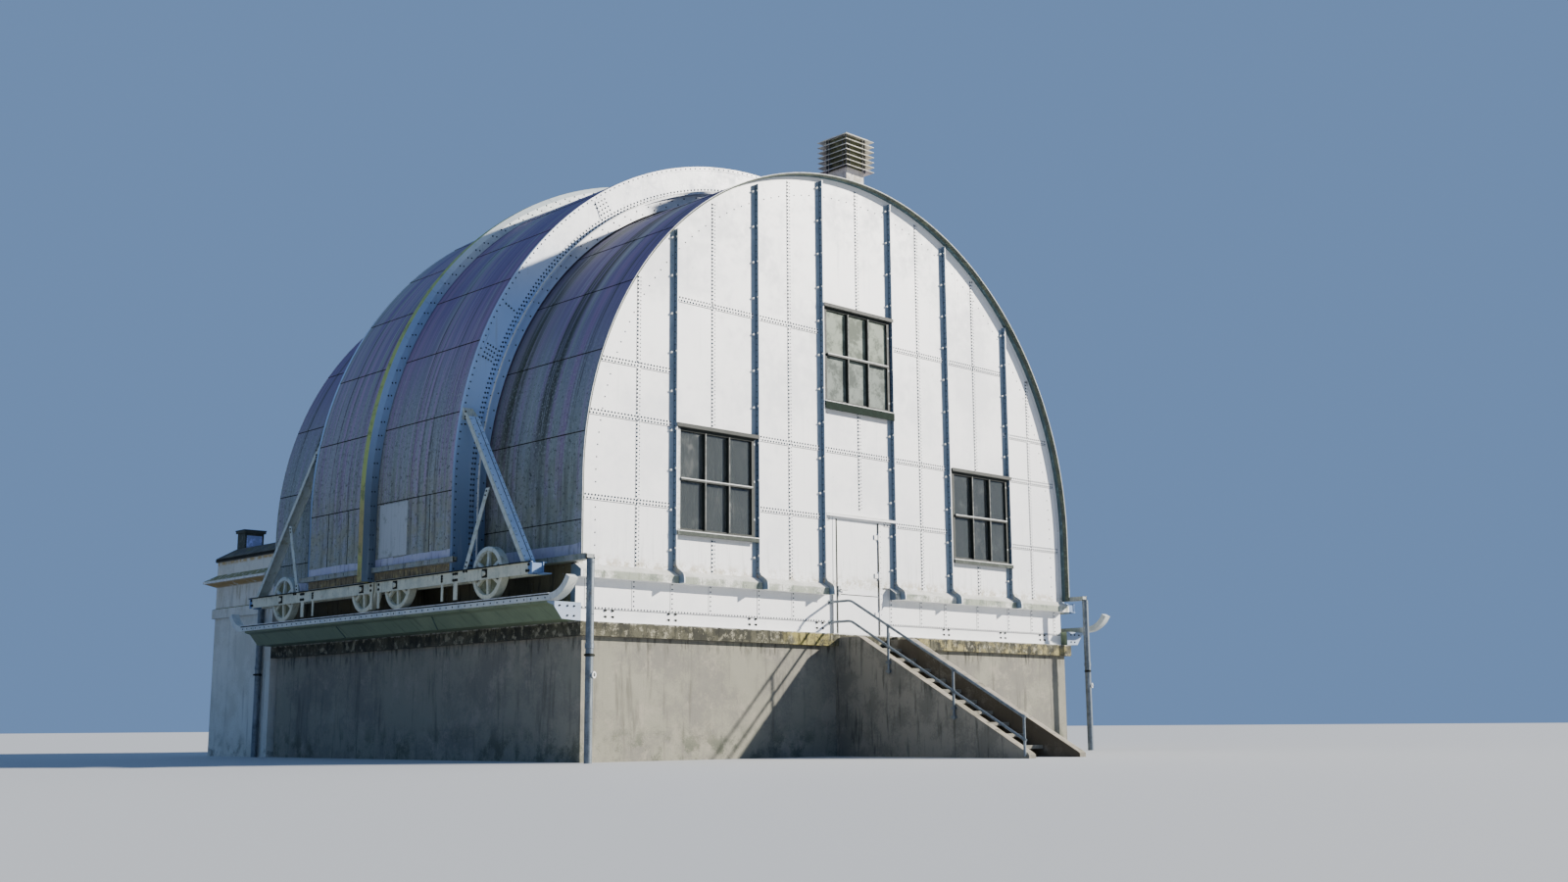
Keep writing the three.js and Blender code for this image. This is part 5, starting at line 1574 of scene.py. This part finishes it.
def stair_treads():
    """Separate treads let into the side walls, with open gaps between them."""
    treads = Shape()
    left, right = STAIR_EDGES[0] + STAIR_WALL - 0.01, STAIR_EDGES[1] - STAIR_WALL + 0.01
    for step in range(TREADS):
        front = FIRST_TREAD_FRONT - step * STAIR_TREAD
        top = FIRST_TREAD_TOP - step * STAIR_RISE
        treads.box([left, right], [front, front + STAIR_TREAD + 0.03], [top - 0.057, top])
    make("stair_tread_slabs", treads, STAIR, stands_for=["stair_flight"], bevel=0.005)


def stair_wall_caps():
    """Paler tops of the stair's two side walls."""
    foot = CHEEK_BEND - (CHEEK_TOP - 0.06) / STAIR_SLOPE
    path = ((-0.001, 1.9602), (CHEEK_BEND, 1.9602), (foot + 0.02, 0.0702))
    caps = Shape()
    for edge in (STAIR_EDGES[0], STAIR_EDGES[1] - STAIR_WALL):
        line = [Vector((edge + STAIR_WALL / 2, y, z)) for y, z in path]
        caps.strap(line, UP, STAIR_WALL - 0.004, 0.008, 0.006)
    make("stair_wall_caps", caps, STAIR_CAP)


def smooth_bend(before, corner, after, radius, steps=6):
    """Points of a round bend between two straight lengths."""
    first, second = (before - corner).normalized(), (after - corner).normalized()
    start, stop = corner + first * radius, corner + second * radius
    line = []
    for step in range(steps + 1):
        share = step / steps
        line.append(start * (1 - share) ** 2 + corner * 2 * share * (1 - share) + stop * share ** 2)
    return line


def handrail():
    """Two tubes that leave the wall level and bend down the stair, on three posts at its side wall."""
    x, bend_y, last_y = -0.6023, -0.29, -3.83
    upper, lower = RAIL_HEIGHTS
    shape = Shape()
    for height in RAIL_HEIGHTS:
        start = Vector((x, BASE_FACE - 0.001, height))
        corner = Vector((x, bend_y, height))
        foot = Vector((x, last_y - 0.022, height - STAIR_SLOPE * (bend_y - last_y + 0.022)))
        shape.tube([start, *smooth_bend(start, corner, foot, 0.07), foot], RAIL_PIPE, 14)
        shape.turned([(0.045, 0), (0.045, 0.008)], Vector((x, BASE_FACE - 0.01, height)), BACK, 16)
    along = Vector((0, -1, -STAIR_SLOPE)).normalized()
    for y in (-1.12, -2.475, last_y):
        top = upper - STAIR_SLOPE * (bend_y - y)
        cheek = CHEEK_TOP - STAIR_SLOPE * (CHEEK_BEND - y)
        shape.tube(upright_line(x, y, max(0.03, cheek - 0.26), top), RAIL_PIPE, 14)
        for drop in (0.24, 0.1):
            if cheek > drop:
                shape.box([x - 0.024, x + 0.022], [y - 0.04, y + 0.04], [cheek - drop, cheek - drop + 0.04])
        for height in (top, lower - STAIR_SLOPE * (bend_y - y)):
            shape.turned([(0.027, -0.03), (0.027, 0.03)], Vector((x, y, height)), along, 14)
    make("handrail_tubes", shape, ZINC, stands_for=["handrail"])


def downpipe(side_name, end):
    """Pipe with its sleeve and collars, the clamp that holds it, and a ring below the clamp."""
    out = facing(end)
    x, y = SIDES[side_name] * 6.075, depth(end, -0.32)
    base, bore, pipe = Vector((x, y, 0)), 0.05, 0.058
    name = f"downpipe_{end}_{side_name}"
    shape, clamp, eye = Shape(), Shape(), Shape()
    shape.turned([(bore, 2.8995), (pipe, 2.8997), (pipe, 1.69), (0.065, 1.685), (0.066, 1.615), (pipe, 1.61),
                  (pipe, 0.0), (bore, 0.0)], base, UP, 28, ring=True)
    for z in (2.84, 2.1, 0.62):
        shape.turned([(0.0585, z), (0.0625, z + 0.006), (0.0585, z + 0.012)], base, UP, 28)
    make(f"{name}_pipe", shape, ZINC, stands_for=[name])
    clamp.turned([(0.0585, 1.5), (0.064, 1.5), (0.064, 1.54), (0.0585, 1.54)], base, UP, 28, ring=True)
    clamp.box([x - 0.095, x + 0.095], [y - 0.006, y + 0.006], [1.505, 1.535])
    make(f"{name}_clamp", clamp, BLACK)
    spot, turned_to = Vector((x + 0.045, y + out.y * 0.05, 1.24)), Vector((0.35, out.y, 0)).normalized()
    eye.turned([(0.03, -0.012), (0.05, -0.012), (0.05, 0.012), (0.03, 0.012)], spot, turned_to, 20, ring=True)
    make(f"{name}_ring", eye, TRIM)


# Carriages, wheels and rails

def wheel(half, side_name, number, y):
    """Cast wheel: tyre, hub and six spokes, with a dark web between them: painted shade in the recess."""
    side = SIDES[side_name]
    name = f"wheel_{half}_{side_name}_{number}"
    centre, axle = Vector((side * WHEEL_X, y, WHEEL_Z)), Vector((side, 0, 0))
    tread = WHEEL_RADIUS
    shape, web = Shape(), Shape()
    tyre = [(0.335, -0.07), (tread - 0.012, -0.07), (tread, -0.062), (tread, 0.062), (tread - 0.012, 0.07),
            (0.335, 0.07), (0.325, 0.05), (0.325, -0.05)]
    hub = [(0.05, -0.0897), (0.06, -0.085), (0.072, -0.02), (0.072, 0.02), (0.06, 0.085), (0.05, 0.0897)]
    shape.turned(tyre, centre, axle, 56, ring=True)
    web.turned([(0.33, -0.008), (0.33, 0.008)], centre, axle, 48)
    make(f"{name}_web", web, RECESS_SHADE, name)
    shape.turned(hub, centre, axle, 28)
    for spoke in range(6):
        turn = math.pi * spoke / 3 + math.pi / 6
        along = Vector((0, math.cos(turn), math.sin(turn)))
        across = axle.cross(along)
        rings = []
        for reach, deep, wide in ((0.05, 0.066, 0.03), (0.2, 0.052, 0.022), (0.332, 0.045, 0.03)):
            at = centre + along * reach
            rings.append([at - across * wide - axle * deep, at + across * wide - axle * deep,
                          at + across * wide + axle * deep, at - across * wide + axle * deep])
        shape.loft(rings)
    make(f"{name}_casting", shape, CREAM, name, [name])


def beam_details(half, side_name):
    """Bearing plates with their caps, bolts, and the dark top edge of one carriage's beam: lichen, and
    painted shade along the top flange.
    """
    side = SIDES[side_name]
    body, tag = f"{half}_half", f"carriage_{half}_{side_name}"
    out, face = Vector((side, 0, 0)), side * BEAM_FACE
    plates, pale, top = Shape(), Shape(), Shape()
    for y in WHEEL_DEPTHS[half]:
        plates.box([face - side * 0.002, face + side * 0.008], [y - 0.066, y + 0.066], [2.725, 2.857])
        pale.turned([(0.036, 0.006), (0.036, 0.02), (0.028, 0.028)], Vector((face, y, 2.79)), out, 18)
        pale.box([face, face + side * 0.014], [y + 0.024, y + 0.048], [2.75, 2.83])
    last = 4.7 if half == "front" else 4.77
    spots = [(0.42, 2.75), (0.42, 2.84), (0.47, 2.75), (2.735, 2.75), (2.735, 2.79), (2.735, 2.83)]
    spots += [(2.31 + step * 0.05, z) for step in range(3) for z in (2.745, 2.84)]
    spots += [(2.05, 2.86), (2.12, 2.86), (last - 0.06, 2.75), (last - 0.06, 2.83)]
    bolts = [Vector((face, depth(half, y), z)) for y, z in spots]
    flange, run = side * (BRACE_FACE + 0.035), between(half, 0.34, last)
    top.box([side * 6.61, flange + side * 0.002], run, [2.8845, 2.8885])
    top.box([flange, flange + side * 0.003], run, [2.869, 2.887])
    make(f"{tag}_bearing_plates", plates, BLACK, body)
    make(f"{tag}_bearing_caps", pale, CREAM, body, bevel=0.002)
    make(f"{tag}_top_edge", top, BLACK, body)
    heads(f"{tag}_bolts", [(bolts, out)], BLACK, 1.0, 0.022, 0.014, body,
          single=True, six_sided=True)


def brace_depth(z):
    """Depth behind the gable of the brace's front at a height."""
    return BRACE_FOOT[0] + BRACE_SLOPE * (z - BRACE_FOOT[1])


def brace_reach(z):
    """Distance across from the hall's middle to the leaning brace's outer face at a height."""
    return BRACE_FACE - BRACE_LEAN * (z - BEAM_LEVELS[1])


def brace_strip(half, side, inset, width, start, stop, lift):
    """Flat strip on the front of the leaning brace, between two heights."""
    rings = []
    for z in (start, stop):
        outer = brace_reach(z) - inset
        ring = []
        for rise in (-0.001, lift):
            y = depth(half, brace_depth(z) - rise / BRACE_RUN)
            at_z = z + rise * BRACE_SLOPE / BRACE_RUN
            ring += [(side * outer, y, at_z), (side * (outer - width), y, at_z)]
        rings.append(in_turn(ring))
    return rings


def brace_details(half, side_name):
    """Blue cover in painted sky reflection, a dark groove of painted shade, and rivets on the brace, with
    bolts on its head plate and strut.
    """
    side = SIDES[side_name]
    body, tag = f"{half}_half", f"brace_{half}_{side_name}"
    low, high = BRACE_FOOT[1] + 0.012, 5.328
    cover, groove = Shape(), Shape()
    cover.loft(brace_strip(half, side, 0.013, 0.105, low, high, 0.004))
    cover.loft(brace_strip(half, side, 0.132, 0.057, low, high, 0.006))
    groove.loft(brace_strip(half, side, 0.119, 0.012, low, high, 0.003))
    make(f"{tag}_cover", cover, BRACE, body)
    make(f"{tag}_groove", groove, BLACK, body)
    out = Vector((0, facing(half).y, BRACE_SLOPE)) / BRACE_RUN
    rivets = []
    for inset in (0.16, 0.03):
        line = [Vector((side * (brace_reach(z) - inset), depth(half, brace_depth(z)), z))
                for z in (low + 0.05, high - 0.05)]
        rivets.append((lifted(line, out, 0.005), out))
    heads(f"{tag}_rivets", rivets, DIRTY_AND_SHADE, 0.13, 0.011, 0.008, body)
    strut = [(1.645 + 0.4875 * share, 4.11 - 1.235 * share) for share in (0.04, 0.09, 0.9, 0.95)]
    spots = [Vector((side * brace_reach(z), depth(half, y), z)) for y, z in strut]
    spots += [Vector((side * brace_reach(z), depth(half, 2.4), z - drop))
              for z in (5.36, 5.44) for drop in (0.03, 0.15)]
    outward = Vector((side, 0, 0))
    heads(f"{tag}_bolts", [(spots, outward)], BLACK, 1.0, 0.014, 0.012, body,
          single=True, six_sided=True)


def rail_curls():
    """Smooth curled ends of the four rails."""
    inner, outer, steps, sweep = 0.455, 0.555, 20, math.radians(62)
    centre_z = 2.4 + inner
    shape = Shape()
    for end in ENDS:
        for side in SIDES.values():
            rings = []
            for step in range(steps + 1):
                angle = sweep * step / steps
                ring = []
                for radius in (inner, outer):
                    y = depth(end, -0.0403 - radius * math.sin(angle))
                    z = centre_z - radius * math.cos(angle)
                    ring += [(side * 6.45, y, z), (side * RAIL_FACE, y, z)]
                rings.append(in_turn(ring))
            shape.loft(rings)
    names = [f"rail_stop_{end}_{side}" for end in ENDS for side in SIDES]
    make("rail_curled_ends", shape, RAIL, stands_for=names)


def rail_details(name, side):
    """Pale head of one rail, the dark line under it (painted shade of a small groove), and its bolts."""
    head, line = Shape(), Shape()
    span, face = [-0.038, HALL_LENGTH + 0.038], side * RAIL_FACE
    head.box([face - side * 0.03, face + side * 0.006], span, [2.392, 2.404])
    make(f"rail_{name}_head", head, TRIM)
    line.box([face, face + side * 0.0025], span, [2.372, 2.391])
    make(f"rail_{name}_line", line, BLACK)
    rows = [(length_line(face, 2.336, 0.05, HALL_LENGTH - 0.05), Vector((side, 0, 0)))]
    heads(f"rail_{name}_bolts", rows, BLACK, 0.17, 0.013, 0.01)


def girder_joints(name, side):
    """Two slanting cover straps on the sloping fascia."""
    out = Vector((side * 0.783, 0, -0.622))
    straps = Shape()
    for y, lean in ((3.3, -0.35), (6.3, 0.35)):
        line = [Vector((side * x, y + lean * (z - 2.17), z)) for x, z in ((6.3, 2.045), (6.455, 2.24))]
        straps.strap(line, out, 0.035, 0.004, 0.002)
    shade = dark_grime_and_shade(f"girder_{name}_joint_shade", (0.07, 0.1, 0.085))
    make(f"girder_{name}_joints", straps, shade)


def girder_ends(name, side):
    """Bolted plates on both ends of one girder."""
    outline = [(5.955, 2.035), (6.02, 2.035), (6.295, 2.05), (6.45, 2.243), (6.553, 2.272), (6.553, 2.296),
               (5.955, 2.296)]
    places = ((6.08, 2.1), (6.08, 2.24), (6.2, 2.1), (6.2, 2.24), (6.34, 2.24))
    plates, rows = Shape(), {}
    for end in ENDS:
        y = depth(end, 0.06)
        face = y + facing(end).y * 0.008
        plates.prism([(side * x, z) for x, z in outline], 1, y, face)
        rows[end] = [([Vector((side * x, face, z)) for x, z in places], facing(end))]
    make(f"girder_{name}_end_plates", plates, PALE_FRAME)
    for end in ENDS:
        heads(f"girder_{name}_{end}_bolts", rows[end], BLACK, 1.0, 0.015, 0.012, single=True, six_sided=True)


# Ventilator and wing

def vent_square(radius, z):
    """Corners of a level square round the ventilator's middle."""
    return [Vector((*VENT_PLACE, 0)) + Vector((a * radius, b * radius, z)) for a, b in CORNERS]


def vent_slats():
    """Square cowl: seven tiers of sloping slats under a low cap."""
    lip, inner, rise, thick = 0.37, 0.235, 0.06, 0.008
    slats = Shape()
    for tier in range(VENT_TIERS):
        z = VENT_BOTTOM + tier * VENT_PITCH
        rings = [vent_square(lip, z), vent_square(lip, z + 0.011),
                 vent_square(inner, z + rise + thick), vent_square(inner, z + rise)]
        slats.loft(rings, closed=True)
    cap = ((0.3, 0.045), (0.3, 0.055), (0.05, 0.091), (0.05, 0.04))
    slats.loft([vent_square(radius, VENT_TOP + height) for radius, height in cap])
    make("ventilator_slats", slats, CHALK, stands_for=["ventilator"])


def vent_posts():
    """Posts behind the slats, at the corners and along the sides, round a dark core: painted shade of the
    cowl's inside.
    """
    posts, core = Shape(), Shape()

    def post(across, along, half, low, high):
        x, y = VENT_PLACE[0] + across, VENT_PLACE[1] + along
        posts.box([x - half, x + half], [y - half, y + half], [low, high])

    for a, b in CORNERS:
        post(a * 0.243, b * 0.243, 0.012, VENT_BOTTOM, VENT_TOP + 0.06)
    for share in (-0.17, 0.17):
        for a, b in ((0, -1), (0, 1), (-1, 0), (1, 0)):
            across, along = a * 0.255 + abs(b) * share, b * 0.255 + abs(a) * share
            post(across, along, 0.01, VENT_BOTTOM + 0.01, VENT_TOP + 0.03)
    make("ventilator_posts", posts, DIRTY_AND_SHADE)
    core.loft([vent_square(0.21, VENT_BOTTOM), vent_square(0.21, VENT_TOP + 0.05)])
    make("ventilator_core", core, RECESS_SHADE)


def vent_neck():
    """White neck whose foot follows the vault, with a zinc cuff on both sides of it."""
    x, y = VENT_PLACE

    def on_vault(across):
        return SPRING_Z + math.sqrt((VAULT_RADIUS + 0.001) ** 2 - across ** 2)

    foot, rim = [], []
    for a, b in CORNERS:
        across, along = x + a * VENT_NECK, y + b * VENT_NECK
        foot.append((across, along, on_vault(across)))
        rim.append((across, along, VENT_BOTTOM + 0.02))
    neck, cuff = Shape(), Shape()
    neck.loft([foot, rim])
    make("ventilator_neck", neck, CHALK)
    for side in SIDES.values():
        across = x + side * VENT_NECK
        z = on_vault(across)
        cuff.box([across, across + side * 0.03], [y - 0.26, y + 0.26], [z - 0.008, z + 0.012])
    make("ventilator_cuff", cuff, FLASHING)


def wing_band(name, reach, z, width, proud, material):
    """Strap round the wing's three free sides, a reach outside its walls."""
    x, back = WING_SIDE + reach, WING_BACK + reach
    ring = [(x, WING_FRONT), (x, back), (-x, back), (-x, WING_FRONT)]
    band = Shape()
    for (a, b), (c, d) in zip(ring, ring[1:]):
        out = Vector((d - b, a - c, 0)).normalized()
        band.strap([Vector((a, b, z)), Vector((c, d, z))], out, width, proud, 0.004)
    make(name, band, material)


def wing_string_course():
    """Plaster course round the wing, with sloping upper and lower faces."""
    profile = [(-0.01, 2.67), (0.05, 2.68), (0.05, 2.86), (-0.01, 2.888)]
    rings = [[(side * (WING_SIDE + out), WING_BACK + out if corner else 10.02, z) for out, z in profile]
             for side, corner in ((-1, False), (-1, True), (1, True), (1, False))]
    course = Shape()
    course.loft(rings)
    make("wing_string_course", course, PLASTER)


def wing_vent_details():
    """Bluish pane and dark lid of the box on the wing's roof."""
    pane, lid = Shape(), Shape()
    pane.box([-5.71, -5.39], [11.442, 11.451], [3.95, 4.33])
    make("wing_vent_pane", pane, VENT_PANE, bevel=0.003)
    lid.box([-5.79, -5.31], [11.41, 11.81], [4.425, 4.445])
    make("wing_vent_lid", lid, HEADS, bevel=0.004)


# Camera and light

def camera():
    place = Vector((-20.0, -22.834, 0.50))
    yaw, pitch, roll = (math.radians(turn) for turn in (44.21, 10.19, -0.40))
    ahead = Vector((math.sin(yaw) * math.cos(pitch), math.cos(yaw) * math.cos(pitch), math.sin(pitch)))
    level = Vector((math.cos(yaw), -math.sin(yaw), 0))
    above = level.cross(ahead)
    right = level * math.cos(roll) + above * math.sin(roll)
    top = above * math.cos(roll) - level * math.sin(roll)
    data = bpy.data.cameras.new("view")
    data.lens = 36.43
    data.sensor_width = 36.0
    data.clip_end = 500.0
    view = bpy.data.objects.new("view", data)
    turn = Matrix((right, top, -ahead)).transposed().to_4x4()
    view.matrix_world = Matrix.Translation(place) @ turn
    bpy.context.scene.collection.objects.link(view)
    bpy.context.scene.camera = view


def pale_stage():
    """Level ground far past the view."""
    size = 400.0
    corners = [(a * size, b * size, 0) for a, b in CORNERS]
    ground = bpy.data.meshes.new("floor")
    ground.from_pydata(corners, [], [(0, 1, 2, 3)])
    matt = bpy.data.materials.new("pale_floor")
    matt.use_nodes = True
    shader = matt.node_tree.nodes["Principled BSDF"]
    shader.inputs["Base Color"].default_value = (0.46, 0.47, 0.47, 1)
    shader.inputs["Roughness"].default_value = 0.9
    ground.materials.append(matt)
    plane = bpy.data.objects.new("floor", ground)
    bpy.context.scene.collection.objects.link(plane)


def sky_and_sun():
    world = bpy.data.worlds.new("sky")
    bpy.context.scene.world = world
    world.use_nodes = True
    sky = world.node_tree.nodes["Background"]
    sky.inputs["Color"].default_value = (0.31, 0.53, 1.0, 1)
    sky.inputs["Strength"].default_value = 0.5

    sun = bpy.data.lights.new("sun", "SUN")
    sun.energy = 10.5
    sun.angle = math.radians(1.5)
    sun.color = (1.0, 0.95, 0.87)
    lamp = bpy.data.objects.new("sun", sun)
    towards = Vector((0.706, -0.592, 0.387))
    lamp.rotation_mode = "QUATERNION"
    lamp.rotation_quaternion = towards.to_track_quat("Z", "Y")
    lamp.location = towards * 40
    bpy.context.scene.collection.objects.link(lamp)


camera()
pale_stage()
sky_and_sun()
paint_frame_nodes()
for hall_end in ENDS:
    fixed_vault(hall_end)
    vault_rim(hall_end)
    roof_half(hall_end)
    arch_plate(hall_end)
    arch_angles(hall_end)
    arch_rivets(hall_end)
    splice_rivets(hall_end)
    gable_seams(hall_end)
    fins(hall_end)
    base_course_details(hall_end)
    for side_label in SIDES:
        downpipe(side_label, hall_end)
        beam_details(hall_end, side_label)
        brace_details(hall_end, side_label)
        for wheel_number, wheel_depth in enumerate(WHEEL_DEPTHS[hall_end], 1):
            wheel(hall_end, side_label, wheel_number, wheel_depth)
for side_label, side_sign in SIDES.items():
    base_side_details(side_label, side_sign)
    rail_details(side_label, side_sign)
    girder_joints(side_label, side_sign)
    girder_ends(side_label, side_sign)
for window_name, window_place in WINDOWS.items():
    window_bars(window_name, *window_place)
    window_hood_and_sill(window_name, *window_place)
    if window_name in HIGH_WINDOWS:
        window_frosting(window_name, *window_place)
white_stile()
curtains()
replaced_panel()
slit_rib()
door_leaf_details()
door_surround()
slab_edges()
stair_treads()
stair_wall_caps()
handrail()
rail_curls()
vent_slats()
vent_posts()
vent_neck()
wing_band("wing_cornice_drip", 0.2, 3.39, 0.03, 0.006, TRIM)
wing_band("wing_roof_edge", 0.03, 3.84, 0.05, 0.008, BLACK)
wing_string_course()
wing_vent_details()
